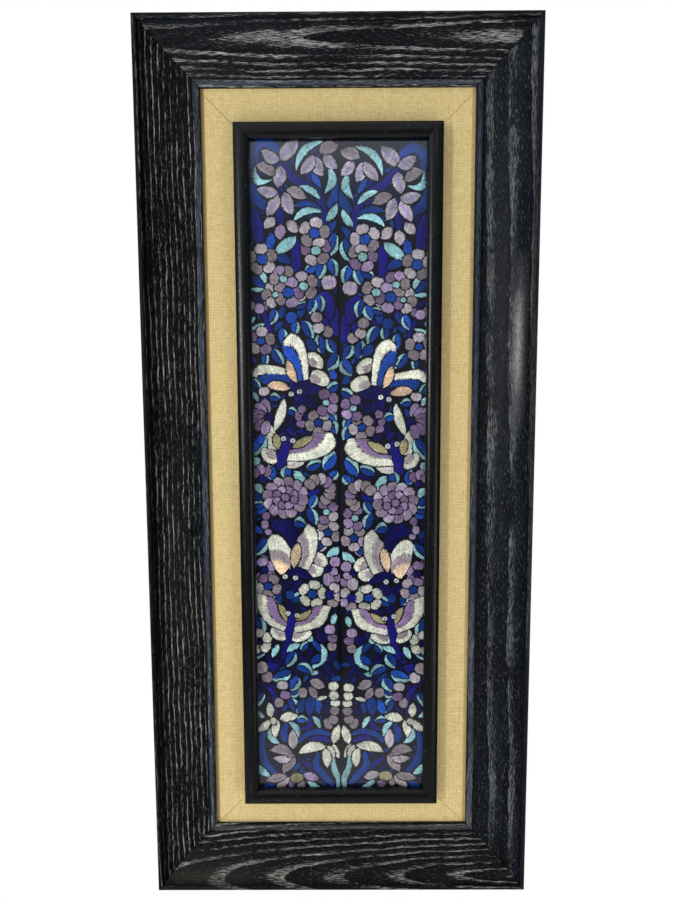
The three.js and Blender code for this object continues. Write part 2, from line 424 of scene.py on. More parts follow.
def limedOak(name, board, places):
    # open-grained oak, stained black and rubbed with grey liming wax: the wax stays in the pores of each
    # ring's early wood as broken pale dashes, and the bare wood shows brown where the rim is worn
    material, add = newMaterial(name)
    run, across = surfacePlace(add)[1:]

    def grain(along, over, detail=2.0, shift=0.0, rough=0.5, lateral=None):
        # the board's own noise, which shift tells apart from its others
        return grainNoise(add, run, lateral or across, along, over, detail,
                          board["seed"] + shift, board["seed"] * 0.37, rough)

    def beside(place, reach, further=0.0):
        # 1 on a named line of the profile or a little further in, down to 0 at reach millimetres from there
        return nearTo(add, across, places[place] + further, reach)

    # ring at a point = distance from the tree's heart, which lies depth + slope x run below the surface;
    # the rings drift sideways by a few millimetres along the board
    drift = add("Math.MULTIPLY_ADD", grain(95, 42), 4 * board["drift"], -2 * board["drift"])
    ripple = add("Math.MULTIPLY_ADD", grain(14, 7, 1.0, 5.0), 2 * board["ripple"], -board["ripple"])
    lean = add("Math.MULTIPLY_ADD", run, board["tilt"], across)
    lateral = add("Math.ADD", lean, add("Math.ADD", drift, ripple))
    sideways = add("Math.SUBTRACT", lateral, board["heart"])
    deep = add("Math.MULTIPLY_ADD", run, board["slope"], board["depth"])
    squares = [add("Math.MULTIPLY", length, length) for length in (sideways, deep)]
    fromHeart = add("Math.SQRT", add("Math.ADD", *squares))
    ringPlace = add("Math.FRACT", add("Math.DIVIDE", fromHeart, board["ring"]))
    band = board["band"]
    early = add("ValToRGB", ringPlace, stops=[
        (0.0, 0.0), (0.05, 1.0), (band, 0.9), (band + 0.14, 0.42), (band + 0.42, 0.16), (1.0, 0.0)])

    # pores 0.2 to 0.3 mm wide, drawn up to twice as wide so that they show, in dashes 3 to 12 mm long
    pores = grain(*board["pore"], 2.0, 9.0, 0.6, lateral)
    patches = grain(60, 16, 2.0, 29.0)
    density = add("Math.MULTIPLY", early, add("Math.MULTIPLY_ADD", patches, 2.2, -0.2, use_clamp=True))
    threshold = add("Math.MULTIPLY_ADD", density, -0.305, 0.758)
    wax = add("Math.MULTIPLY", add("Math.SUBTRACT", pores, threshold), 15.0, use_clamp=True)
    ticks = add("Math.SUBTRACT", grain(3.6, 0.6, 1.0, 17.0, 0.5, lateral), 0.60)
    ticks = add("Math.MULTIPLY", ticks, 6.0, use_clamp=True)
    limed = add("Math.MAXIMUM", wax, add("Math.MULTIPLY", ticks, board["ticks"]))
    broken = add("Math.MULTIPLY_ADD", grain(2.6, 1.4, 1.0, 41.0), 1.7, 0.1, use_clamp=True)
    limed = add("Math.MULTIPLY", add("Math.MULTIPLY", limed, broken), board["wax"])
    limed = add("Math.MULTIPLY", limed, add("Math.MULTIPLY_ADD", beside("rimEdge", 4.0, 2), -0.6, 1.0))

    haze = add("Math.MULTIPLY", early, add("Math.MULTIPLY", patches, 0.10))
    stain = add("ValToRGB", grain(38, 5, 3.0, 53.0), stops=[(0.28, "#040506"), (0.72, board["ink"])])
    ground = add("Mix", haze, stain, "#5a5d61")
    waxColour = add("ValToRGB", grain(20, 6, 1.0, 61.0), stops=[(0.3, "#898985"), (0.7, "#bab9b2")])
    waxColour = add("Mix", board["blue"], waxColour, "#7d8794")
    grainy = add("Math.MULTIPLY_ADD", grain(3.0, 0.9, 3.0, 97.0, 0.7), 2.4, -0.4, use_clamp=True)
    grit = add("Math.MULTIPLY_ADD", grain(1.5, 0.8, 1.0, 103.0), 2.6, -0.4, use_clamp=True)
    # patches of other tone over the ground; the two pale ones on the right rail are a painted highlight
    for middle, reach, line, width, strength, tone in board["patchesAndHighlight"]:
        far = add("Math.DIVIDE", add("Math.SUBTRACT", run, middle), reach)
        patchAndHighlightMask = add("Math.SUBTRACT", 1.0, add("Math.MULTIPLY", far, far), use_clamp=True)
        for share in (nearTo(add, across, line, width), nearTo(add, across, line, width * 2), grainy, grit):
            patchAndHighlightMask = add("Math.MULTIPLY", patchAndHighlightMask, share)
        ground = add("Mix", add("Math.MULTIPLY", patchAndHighlightMask, 1.3 * strength, use_clamp=True), ground, tone)
        waxKept = add("Math.MULTIPLY_ADD", patchAndHighlightMask, -0.9 * strength, 1.0, use_clamp=True)
        limed = add("Math.MULTIPLY", limed, waxKept)

    # painted shade darkens the step under the rim, the groove beside the lip and a band under the rim,
    # darkest on the left rail; the rim's edge is rubbed down to brown wood, a painted sheen lies on the lip's
    # crest, the back and the rabbet are bare sawn wood, and each mitre shows a thin dark line
    # painted shade: the step, the groove, and a band under the rim of strength shade
    paintedShade = add("Math.MAXIMUM", add("Math.MULTIPLY", beside("step", 1.6), 0.5), beside("groove", 1.1))
    paintedShade = add("Math.MAXIMUM", paintedShade, add("Math.MULTIPLY", beside("step", 9.0, 2), board["shade"]))
    worn = grain(11, 1.3, 2.0, 71.0)
    worn = add("Math.MULTIPLY_ADD", worn, 6.0, 1.2 * board["wear"] - 3.6, use_clamp=True)
    worn = add("Math.MULTIPLY", beside("rimEdge", 1.9), worn)
    # painted sheen in streaks along the lip's crest, in the board's lip tone
    paintedLipSheen = add("Math.MULTIPLY_ADD", grain(7, 0.55, 3.0, 77.0, 0.72), 4.6, -1.8, use_clamp=True)
    paintedLipSheen = add("Math.MULTIPLY", beside("lip", 3.0), paintedLipSheen)
    behind = add("Math.GREATER_THAN", across, places["back"])
    sawn = add("ValToRGB", grain(30, 1.6, 3.0, 83.0), stops=[(0.3, "#5e4a33"), (0.7, "#8a7050")])
    colour = add("Mix", limed, ground, waxColour)
    for share, most, tone in ((paintedShade, 0.9, "#030304"), (worn, 0.8, "#5f4431"), (paintedLipSheen, 0.85, board["lip"]),
                              (behind, 1.0, sawn), (nearMitre(add, 0.6), 1.0, "#040405")):
        colour = add("Mix", add("Math.MULTIPLY", share, most), colour, tone)

    height = add("Math.MULTIPLY_ADD", add("Math.MAXIMUM", wax, add("Math.MULTIPLY", ticks, 0.6)), -1.0, 1.0)
    gloss = add("Math.MULTIPLY_ADD", limed, 0.35, 0.40)
    finishMaterial(add, height, 0.5, 0.00025, {
        "Base Color": colour, "Roughness": gloss, "Specular IOR Level": 0.07, "IOR": 1.5})
    return material


def makeOakRails(p):
    profile = oakProfile(p)
    step, groove, lip, rimEdge, back = arcPlaces(
        profile, (p["scoopStart"] - 0.4, p["depth"] - 2.6), (p["scoopEnd"], p["scoopBottom"]),
        (p["lipCrestAt"] + 0.4, p["lipCrest"]), (0.3, p["depth"] - 0.9), (p["lipReach"], p["rabbetFront"]))
    places = {"step": step, "groove": groove, "lip": lip, "rimEdge": rimEdge, "back": back}
    for side, board in oakBoards.items():
        material = limedOak("limedOak" + side.capitalize(), board, places)
        rail = sweepRail("oak_rail_" + side, profile, side, frameHalf, frameMiddle, material, p["steps"])
        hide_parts("outer_rail_" + side)


makeOakRails(oakRail)
print("oak rails ready")


# Linen liner: flat softwood rails wrapped in linen canvas
linenRail = {
    "front": 11.7, "back": 2.0, "width": 33.4, "edgeRound": 1.2,
    "half": (119.0, 325.5), "drop": 2.2,
    "threadAcross": 1.30, "threadAlong": 1.42,  # pitch, about half as coarse again as real so that it shows
    "edgeStrip": {-1: 0.75, 1: 0.42},  # strength of the painted shadow of the oak lip, a dark strip on the left and on the right
    "steps": 40,
}


def linenCanvas(look, front):
    # undyed linen in plain weave, glued down: uneven round threads with slubs, some flecks of straw, matt
    material, add = newMaterial("linenCanvas")
    surface, run, across = surfacePlace(add)

    def threads(position, along, pitch, shift):
        # one set of threads: the round height across each, a slow change of tone along it, and its number
        wobble = add("TexNoise", {"Vector": surface, "Scale": 0.12 + shift * 0.01, "Detail": 1.0})
        count = add("Math.DIVIDE", add("Math.MULTIPLY_ADD", wobble, 0.9, position), pitch)
        number = add("Math.FLOOR", count)
        bulge = add("Math.SINE", add("Math.MULTIPLY", add("Math.FRACT", count), math.pi))
        point = add("CombineXYZ", add("Math.MULTIPLY", along, 0.16),
                    add("Math.MULTIPLY", number, 3.71), shift)
        slub = add("TexNoise", {"Vector": point, "Scale": 1.0, "Detail": 2.0, "Roughness": 0.6})
        return bulge, slub, number

    warpHeight, warpSlub, warpNumber = threads(run, across, look["threadAcross"], 4.0)
    weftHeight, weftSlub, weftNumber = threads(across, run, look["threadAlong"], 9.0)
    # plain weave: where the two numbers add up to an odd one the warp lies over, elsewhere the weft
    over = add("Math.PINGPONG", add("Math.ADD", warpNumber, weftNumber), 1.0)
    warp = add("Math.MULTIPLY", warpHeight, add("Math.MULTIPLY_ADD", over, 0.7, 0.3))
    weft = add("Math.MULTIPLY", weftHeight, add("Math.MULTIPLY_ADD", over, -0.7, 1.0))
    height = add("Math.ADD", warp, weft)
    slub = add("Math.ADD", add("Math.MULTIPLY", over, warpSlub),
               add("Math.MULTIPLY", add("Math.SUBTRACT", 1.0, over), weftSlub))
    slub = add("Math.MULTIPLY_ADD", warpSlub, weftSlub, slub)
    slub = add("Math.MULTIPLY_ADD", slub, 0.62, 0.045)
    colour = add("ValToRGB", slub, stops=[
        (0.15, "#b89e64"), (0.4, "#d7bf83"), (0.6, "#e4ce93"), (0.85, "#f2dea8")])

    # shade between the threads, flecks of straw, cloudy tone, and a painted shadow of the oak lip: a dark
    # strip beside it on the left and on the right
    gaps = add("Math.MULTIPLY_ADD", height, -1.6, 1.25, use_clamp=True)
    fleck = add("TexNoise", {"Vector": surface, "Scale": 0.55, "Detail": 2.0})
    fleck = add("Math.MULTIPLY", add("Math.SUBTRACT", fleck, 0.72), 9.0, use_clamp=True)
    cloudy = add("TexNoise", {"Vector": surface, "Scale": 0.02, "Detail": 2.0})
    cloudy = add("Math.MULTIPLY_ADD", cloudy, 0.5, -0.12, use_clamp=True)
    layers = [(gaps, 0.85, "#775f31"), (fleck, 0.5, "#7d6638"), (cloudy, 1.0, "#d6bd7e")]
    aside = add("SeparateXYZ", add("TexCoord", out="Object"), out="X")
    # painted shadow of the oak lip: a dark strip along the outer edge at each side, darkest on the left
    for sign, strength in look["edgeStrip"].items():
        strip = add("Math.MULTIPLY_ADD", aside, sign * 900.0, -98.6, use_clamp=True)
        layers.append((strip, strength, "#6b5730"))

    # a shaded line at the mitre, and bare pine behind
    pine = grainNoise(add, run, across, 50, 2, 3.0)
    pine = add("ValToRGB", pine, stops=[(0.3, "#a98555"), (0.7, "#c8a875")])
    layers += [(nearMitre(add, 0.55), 0.45, "#8a7043"), (add("Math.GREATER_THAN", across, front), 1.0, pine)]
    for share, most, tone in layers:
        colour = add("Mix", add("Math.MULTIPLY", share, most), colour, tone)
    finishMaterial(add, height, 0.6, 0.0003, {
        "Base Color": colour, "Roughness": 0.88, "Specular IOR Level": 0.25,
        "Sheen Weight": 0.15, "Sheen Roughness": 0.5})
    return material


def makeLinenRails(p):
    # the canvas wraps both front edges of the rail
    outline = easeCorners(np.concatenate([
        line((0, p["back"]), (0, p["front"] - p["edgeRound"] - 0.3), 3),
        quarter((0, p["front"] - p["edgeRound"]), (p["edgeRound"], p["front"]), "v"),
        line((p["edgeRound"] + 0.5, p["front"]), (p["width"] - p["edgeRound"] - 0.5, p["front"]), 22),
        quarter((p["width"] - p["edgeRound"], p["front"]), (p["width"], p["front"] - p["edgeRound"]), "u"),
        line((p["width"], p["back"]), (1, p["back"]), 5),
    ]), 0.25)
    wrapped, = arcPlaces(outline, (p["width"], p["back"]))
    material = linenCanvas(p, wrapped)
    middle = frameMiddle - p["drop"]
    for side in sides:
        rail = sweepRail("linen_rail_" + side, outline, side, p["half"], middle, material, p["steps"])
        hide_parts("liner_rail_" + side)


makeLinenRails(linenRail)
print("linen liner ready")


# Inner frame: narrow black moulding with a half-round face and a rabbet for glass, silk and board
lacquerRail = {
    "back": 2.0, "width": 12.6, "crest": 28.4, "crestAt": 6.6, "edge": 25.6,
    "rabbetAt": 7.6, "rabbetFront": 20.5,
    "half": (85.3, 291.8), "drop": 2.2, "steps": 56,
}


def blackLacquer(places):
    # black satin lacquer over primed wood: smooth, a little rubbed along its crest, faint dust by the glass
    material, add = newMaterial("blackLacquer")
    surface, run, across = surfacePlace(add)
    streak = grainNoise(add, run, across, 20, 5 / 3, 3.0, level=2.0)
    grit = add("TexNoise", {"Vector": surface, "Scale": 1.1, "Detail": 2.0})
    bySight = nearTo(add, across, places["sight"], 1.2)
    edgeStrip = add("Math.MULTIPLY", bySight, add("Math.MULTIPLY_ADD", grit, 1.4, -0.45, use_clamp=True))
    # crumbs of dust under a millimetre across, most of them by the glass and drawn a little large
    crumb = add("TexNoise", {"Vector": surface, "Scale": 0.9, "Detail": 0.0})
    sparse = add("Math.MULTIPLY_ADD", bySight, -0.13, 0.83)
    crumb = add("Math.MULTIPLY", add("Math.SUBTRACT", crumb, sparse), 30.0, use_clamp=True)
    rubbed = add("Math.MULTIPLY", nearTo(add, across, places["crest"], 2.4),
                 add("Math.MULTIPLY_ADD", streak, 2.2, -0.9, use_clamp=True))
    behind = add("Math.GREATER_THAN", across, places["back"])
    primed = add("ValToRGB", streak, stops=[(0.3, "#3b3128"), (0.7, "#5c4b39")])
    colour = add("ValToRGB", streak, stops=[(0.3, "#050506"), (0.6, "#08080a"), (0.85, "#0f1013")])
    for share, most, tone in ((edgeStrip, 0.35, "#5a5a5c"), (crumb, 0.55, "#9c9c98"), (rubbed, 0.16, "#4a4b50"),
                              (behind, 1.0, primed), (nearMitre(add, 0.35), 1.0, "#040405")):
        colour = add("Mix", add("Math.MULTIPLY", share, most), colour, tone)
    peel = add("Math.MULTIPLY_ADD", grit, 0.8, streak)
    gloss = add("Math.MULTIPLY_ADD", grit, 0.30, 0.13)
    finishMaterial(add, peel, 0.25, 0.0002, {
        "Base Color": colour, "Roughness": gloss, "Specular IOR Level": 0.27, "IOR": 1.5})
    return material


def makeLacquerRails(p):
    outline = easeCorners(np.concatenate([
        line((0, p["back"]), (0, p["edge"] - 0.5), 8),
        quarter((0, p["edge"]), (p["crestAt"], p["crest"]), "v", 20),
        quarter((p["crestAt"], p["crest"]), (p["width"], p["edge"]), "u", 20)[1:],
        line((p["width"], p["rabbetFront"]), (p["rabbetAt"], p["rabbetFront"]), 3),
        line((p["rabbetAt"], p["back"]), (1, p["back"]), 3),
    ]), 0.2)
    crest, sight, back = arcPlaces(outline, (p["crestAt"], p["crest"]), (p["width"], p["edge"]),
                                   (p["width"], p["rabbetFront"]))
    material = blackLacquer({"crest": crest, "sight": sight, "back": back})
    middle = frameMiddle - p["drop"]
    for side in sides:
        rail = sweepRail("lacquer_rail_" + side, outline, side, p["half"], middle, material, p["steps"])
        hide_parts("inner_rail_" + side)


makeLacquerRails(lacquerRail)
print("inner frame ready")


def pictureGlass():
    # plain 2 mm float glass: clear, a faint green, and each face mirrors about 4 % of the room. Here a face
    # mirrors only on its outer side, and 1.8 times as much, so that it stands for both
    material, add = newMaterial("pictureGlass")
    clear = add("BsdfTransparent", {"Color": "#fbfdfc"})
    mirror = add("BsdfGlossy", {"Color": (1, 1, 1, 1), "Roughness": 0.02})
    share = add("Math.MULTIPLY", add("Fresnel", {"IOR": 1.5}), 1.8, use_clamp=True)
    outside = add("Math.SUBTRACT", 1.0, add("NewGeometry", out="Backfacing"))
    add("OutputMaterial", add("MixShader", add("Math.MULTIPLY", share, outside), clear, mirror))
    return material


def pressedBoard():
    # grey-brown picture board: short fibres, pressed, matt, a little stained
    material, add = newMaterial("pressedBoard")
    place = add("TexCoord", out="Object")
    fibre = add("TexNoise", {"Vector": place, "Scale": 900.0, "Detail": 3.0, "Roughness": 0.7})
    colour = add("ValToRGB", fibre, stops=[(0.3, "#75664f"), (0.55, "#8c7b62"), (0.75, "#a39277")])
    stain = add("TexNoise", {"Vector": place, "Scale": 14.0, "Detail": 4.0})
    stain = add("Math.MULTIPLY_ADD", stain, 1.2, -0.45, use_clamp=True)
    # on its front a black tape 8 mm wide runs down the middle, behind the seam of the silk
    aside = add("Math.ABSOLUTE", add("SeparateXYZ", place, out="X"))
    onFront = add("Math.LESS_THAN", add("SeparateXYZ", place, out="Y"), -0.0155)
    taped = add("Math.MULTIPLY", add("Math.LESS_THAN", aside, 0.004), onFront)
    for share, tone in ((stain, "#6c5a41"), (taped, "#060608")):
        colour = add("Mix", share, colour, tone)
    finishMaterial(add, fibre, 0.3, 0.0002, {
        "Base Color": colour, "Roughness": 0.9, "Specular IOR Level": 0.3})
    return material


def paintNode(node, material):
    # a CAD node keeps its mesh and gets a material
    target = bpy.data.objects[node]
    target.data.materials.clear()
    target.data.materials.append(material)


paintNode("glass_pane", pictureGlass())
paintNode("backing_board", pressedBoard())
print("glass and board ready")


# Silk ground: two bands of black silk meeting at the middle, stretched over the backing board
silkBand = {
    "width": 77.2, "height": 567.8, "drop": 2.2,
    "seam": 0.2,  # half of the gap between the bands
    "back": 16.75, "front": 17.05,  # forward from the wall
    "sightTop": -71.25,
    "grid": (30, 210),
}


def blackSilk():
    # black silk satin ground: fine ribbed threads with a dull sheen, slightly faded in soft clouds
    material, add = newMaterial("blackSilkGround")
    place = add("TexCoord", out="Object")
    # ribs every 0.6 mm, drawn three times as coarse as real so that they show
    rib = add("TexWave", {"Vector": place, "Scale": 520.0, "Distortion": 0.6, "Detail": 1.0}, out="Fac",
              wave_type="BANDS", bands_direction="Z")
    cloud = add("TexNoise", {"Vector": place, "Scale": 45.0, "Detail": 3.0})
    lint = add("TexNoise", {"Vector": place, "Scale": 420.0, "Detail": 2.0})
    lint = add("Math.MULTIPLY", add("Math.SUBTRACT", lint, 0.73), 9.0, use_clamp=True)
    colour = add("ValToRGB", cloud, stops=[(0.3, "#090a15"), (0.7, "#111221")])
    for share, most, tone in ((rib, 0.2, "#1b1c2c"), (lint, 0.35, "#57535c")):
        colour = add("Mix", add("Math.MULTIPLY", share, most), colour, tone)
    finishMaterial(add, rib, 0.3, 0.0001, {
        "Base Color": colour, "Roughness": 0.6, "Specular IOR Level": 0.08})
    return material


def makeSilkBand(side, sign, material, p):
    # a closed sheet: two faces of a grid with a wall round them, the front one with soft hollows,
    # 0.05 sin(across / 9) sin(down / 23) mm deep, which fade out at its edges
    columns, rows = p["grid"]
    across = np.linspace(p["seam"], p["seam"] + p["width"], columns)[None, :]
    down = np.linspace(0, p["height"], rows)[:, None]
    x = np.broadcast_to(sign * across, (rows, columns))
    z = np.broadcast_to(frameMiddle - p["drop"] + p["height"] / 2 - down, (rows, columns))
    fromSide = np.minimum(across - p["seam"], p["width"] + p["seam"] - across)
    fromEdge = np.minimum(fromSide, np.minimum(down, p["height"] - down))
    sink = 0.05 * np.sin(across / 9 + sign) * np.sin(down / 23) * np.clip(fromEdge / 4, 0, 1)
    front = np.stack([x, -(p["front"] + sink), z], -1)
    back = np.stack([x, np.full_like(x, -p["back"]), z], -1)
    points = np.concatenate([front.reshape(-1, 3), back.reshape(-1, 3)]) / 1000
    quads = gridQuads(rows, columns)
    count = rows * columns
    index = np.arange(count).reshape(rows, columns)
    rim = np.concatenate([index[0, :-1], index[:-1, -1], index[-1, :0:-1], index[:0:-1, 0]])
    after = np.roll(rim, -1)
    wall = np.stack([rim, after, after + count, rim + count], 1)
    faces = np.concatenate([quads[:, ::-1], quads + count, wall])
    band = putMesh("silk_ground_" + side, points, faces[:, ::-1] if sign < 0 else faces, material)
    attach(band, "root")
    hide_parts("silk_band_" + side)
    return band


# Floss colours: end and middle of a stitch
floss = {
    "A": ("#b7e0e8", "#a3d4de"),  # aqua
    "B": ("#2867d6", "#2056c6"),  # royal blue
    "D": ("#184aa8", "#123f98"),  # deep blue
    "I": ("#241e9b", "#1a1584"),  # indigo
    "N": ("#15136c", "#0f0d5a"),  # night blue
    "M": ("#b8a8b0", "#9c8a96"),  # grey mauve
    "Q": ("#d8cbd1", "#ae9bc6"),  # grey mauve with a lilac heart
    "L": ("#cab1d8", "#b79aca"),  # lilac
    "P": ("#a88ab2", "#9375a6"),  # plum
    "C": ("#ede8dd", "#e0dcd1"),  # cream
    "W": ("#e0d4da", "#ccbacb"),  # pale lilac
    "E": ("#fddfc6", "#f6d5b6"),  # peach
    "K": ("#c2b491", "#b0a37e"),  # khaki
    "X": ("#fbfcfc", "#f0f2f3"),  # white
}

stitching = {
    "pitch": 0.62,  # about twice a real stitch, so that the threads show
    "thick": 0.30, "arch": 0.10, "ragged": 0.32, "shortest": 0.9,  # mm
    # how much the tone of a pad, of a stitch and of a part of one wanders, and the limits of the first two
    "padTone": 0.09, "tone": 0.085, "patch": 0.09, "toneWithin": (0.5, 1.6),
    "touch": 0.2, "void": 0.42,  # margins round a pad: none, and a line of bare silk
    "full": 1.12,  # how much wider leaves and paths are sewn than drawn
    "roundPower": 2.4,  # 2 would be an ellipse
    "samples": 48,  # places along a stitch where the silk under it is looked at
}
leafShape = {
    "belly": 0.92, "round": 0.72,  # the widest place a little past the middle, and the ends a little blunt
    "mostSlant": 0.20, "split": 0.40, "gap": 0.35,  # a two-tone leaf: the pale share, and half the gap in mm
}

# Every motif is written for the left band, in millimetres: x from the seam, y down from the sight's top.
# Leaves and petals: floss, start, tip, width, bow to the left of the way from start to tip.
# Two letters split the leaf lengthwise, the left side first.
leaves = [
    # orchid sprays
    ("Q", -47, 15, -62, 8, 9.5, 1.5), ("Q", -46, 16, -33, 0, 11, 1), ("M", -52, 27, -67, 20, 9, -2),
    ("Q", -47, 20, -49, 37, 10, 0.5), ("Q", -20, 12, -30, 27, 8.5, 1), ("Q", -19, 13, -12, 28, 9, -1),
    ("M", -15, 9, 0, 3, 10, 1), ("Q", -11, 11, 0, 22, 8.5, -1), ("Q", -49, 41, -66, 39, 8.5, 1),
    ("Q", -50, 42, -58, 60, 9, 1), ("Q", -44, 42, -37, 59, 9.5, -1), ("M", -42, 39, -26, 45, 8.5, 1),
    ("L", -53, 61, -60, 70, 8, 0), ("W", -48, 67, -48, 79, 8.5, 0), ("L", -42, 65, -33, 73, 8, 0),
    ("A", -12, 0, -34, 23, 6, -6), ("A", -68, 20, -54, 31, 6, -8), ("A", -7, 21, -10, 42, 6.5, 4.5),
    ("A", -31, 36, -14, 46, 5, 2), ("A", -36, 64, -13, 57, 5.5, 4.5), ("A", -9, 64, -1, 50, 6, -1),
    ("D", -36, 52, -13, 55, 5, 3), ("B", -21, 26, -13, 37, 4.5, 0), ("D", -9, 77, -1, 64, 5.5, 1),
    ("B", -55, 74, -55, 88, 7, 0), ("A", -35, 77, -52, 91, 9, 0), ("AB", -3, 74, -5, 92, 9, 1),
    ("D", -52, 93, -38, 97, 7, 1),
    # below the first blossoms
    ("DA", -17, 98, -27, 106, 7, 0), ("AB", -13, 96, -15, 111, 8, 0), ("AB", -8, 95, -1, 109, 8, 1),
    ("A", -66, 105, -60, 115, 4.5, 1), ("D", -71, 110, -60, 117, 7, 0), ("A", -73, 120, -61, 120, 3.5, 0),
    ("DA", -27, 130, -34, 136, 6, 0), ("AB", -22, 127, -24, 140, 8, 1), ("AB", -18, 124, -13, 138, 7.5, 1),
    ("AB", -54, 136, -56, 149, 7, 1), ("A", -62, 148, -74, 153, 3.5, 0), ("A", -70, 142, -74, 148, 3, 0),
    ("AB", -37, 146, -35, 157, 7, 0), ("AB", -31, 146, -21, 160, 8, 1), ("AB", -48, 152, -46, 166, 7, 1),
    ("D", -27, 162, -18, 170, 7, 0), ("DA", -18, 158, -13, 173, 8, 0), ("DA", -10, 162, -1, 172, 8, 0),
    ("AB", -62, 172, -61, 182, 6, 0), ("AD", -56, 169, -45, 181, 7.5, 0), ("AB", -2, 172, -8, 187, 9.5, 2),
    ("D", -47, 133, -48, 143, 6, 0), ("D", -31, 133, -32, 143, 6, 0),
    # round the first butterflies
    ("AD", -59, 211, -50, 210, 6.5, 1), ("AD", -74, 195, -66, 202, 6, 0), ("A", -74, 205, -67, 213, 4, 1),
    ("AD", -44, 222, -35, 223, 7, 1), ("DA", -1, 197, -9, 207, 8, 0), ("AB", -8, 222, -1, 230, 6, 0),
    ("AB", -9, 230, -1, 241, 8, 1), ("D", -7, 188, -1, 194, 6, 0), ("BA", -4, 256, -12, 273, 10, 0),
    ("DA", -16, 264, -28, 272, 8, 0), ("AD", -64, 240, -71, 259, 10, 1),
    ("C", -46, 211, -54, 238, 7.5, 1), ("C", -58, 233, -54, 259, 8.5, -1),
    # round the peony
    ("BA", -60, 268, -56, 281, 8, 0), ("BA", -46, 269, -44, 280, 8.5, 0), ("A", -38, 273, -28, 285, 7.5, 0),
    ("AB", -2, 272, -6, 281, 7, 0), ("A", -73, 285, -65, 292, 6, 1), ("D", -73, 293, -66, 298, 6, 0),
    ("AD", -73, 304, -63, 300, 7, 0), ("B", -70, 310, -62, 303, 6, 0), ("AB", -20, 294, -23, 306, 7, 0),
    ("AD", -27, 306, -19, 320, 8, 1), ("AD", -39, 320, -28, 319, 9, 2), ("AD", -64, 331, -73, 347, 8.5, 1),
    ("D", -12, 334, -19, 342, 5.5, 0), ("W", -11, 339, -18, 344, 3, 0), ("A", -1, 340, -11, 349, 7, 1),
    ("D", -73, 322, -66, 327, 5, 0),
    # round the lower butterflies
    ("DA", -59, 377, -51, 389, 8, 0), ("DA", -31, 380, -41, 389, 7.5, 0), ("A", -18, 371, -15, 378, 4.5, 0),
    ("A", -73, 366, -72, 379, 2.5, 0), ("A", -72, 386, -73, 401, 2.5, 0), ("A", -4, 399, -6, 409, 5, 0),
    ("AD", -72, 402, -67, 419, 9, 1), ("A", -54, 427, -59, 439, 5, 0), ("AD", -64, 432, -74, 441, 6, -1),
    ("A", -35, 427, -46, 434, 5.5, -1), ("BA", -29, 425, -33, 434, 6, 0), ("AB", -40, 433, -45, 448, 8.5, 1),
    ("AD", -39, 448, -24, 453, 8, 2), ("D", -25, 424, -17, 434, 4.5, 1), ("B", -18, 436, -25, 445, 6.5, 1),
    ("A", -26, 454, -19, 452, 4, 0), ("AB", -43, 451, -59, 460, 9.5, 1), ("AB", -38, 456, -42, 470, 9, 1),
    ("AB", -37, 470, -45, 474, 6, 1), ("M", -26, 461, -13, 466, 8, 0), ("M", -27, 467, -20, 477, 6.5, 0),
    ("C", -20, 478, -11, 475, 3.5, 0), ("D", -26, 474, -26, 493, 8, 0), ("B", -30, 477, -35, 491, 7.5, -1),
    ("B", -22, 477, -18, 491, 6.5, 1), ("AD", -45, 477, -37, 490, 8, 1), ("AD", -67, 471, -73, 485, 7, -1),
    ("A", -73, 489, -67, 494, 4, -1),
    # foot: cream and mauve orchids
    ("C", -61, 494, -63, 481, 6.5, 0), ("C", -53, 497, -37, 493, 8, 1), ("C", -63, 497, -72, 508, 6.5, 1),
    ("C", -55, 497, -57, 513, 6.5, -1), ("AD", -38, 498, -28, 497, 6, 1.5), ("A", -24, 494, -17, 505, 4.5, 1),
    ("A", -45, 499, -36, 513, 5, 2.5), ("W", -41, 524, -42, 506, 8, 0), ("M", -42, 529, -62, 526, 9, -3),
    ("M", -41, 530, -51, 526, 6, 0), ("W", -43, 531, -59, 533, 7, 2), ("M", -40, 532, -50, 547, 8.5, -1),
    ("A", -63, 505, -54, 519, 6, -3), ("C", -5, 520, -1, 502, 7, 0), ("C", -12, 521, -36, 528, 9, -2.5),
    ("C", -14, 524, -11, 542, 7.5, 1), ("C", -11, 521, -5, 532, 6, 0), ("C", -7, 520, -1, 533, 5, 0),
    ("A", -74, 539, -62, 549, 6, -1), ("P", -48, 549, -66, 554, 7.5, 0), ("L", -46, 551, -57, 562, 6.5, 0),
    ("L", -33, 549, -19, 552, 7.5, 0), ("P", -45, 553, -43, 561, 5, 0), ("P", -37, 555, -32, 562, 7, 0),
    ("A", -29, 555, -17, 562, 4.5, -1), ("B", -69, 562, -58, 556, 5.5, 0),
]

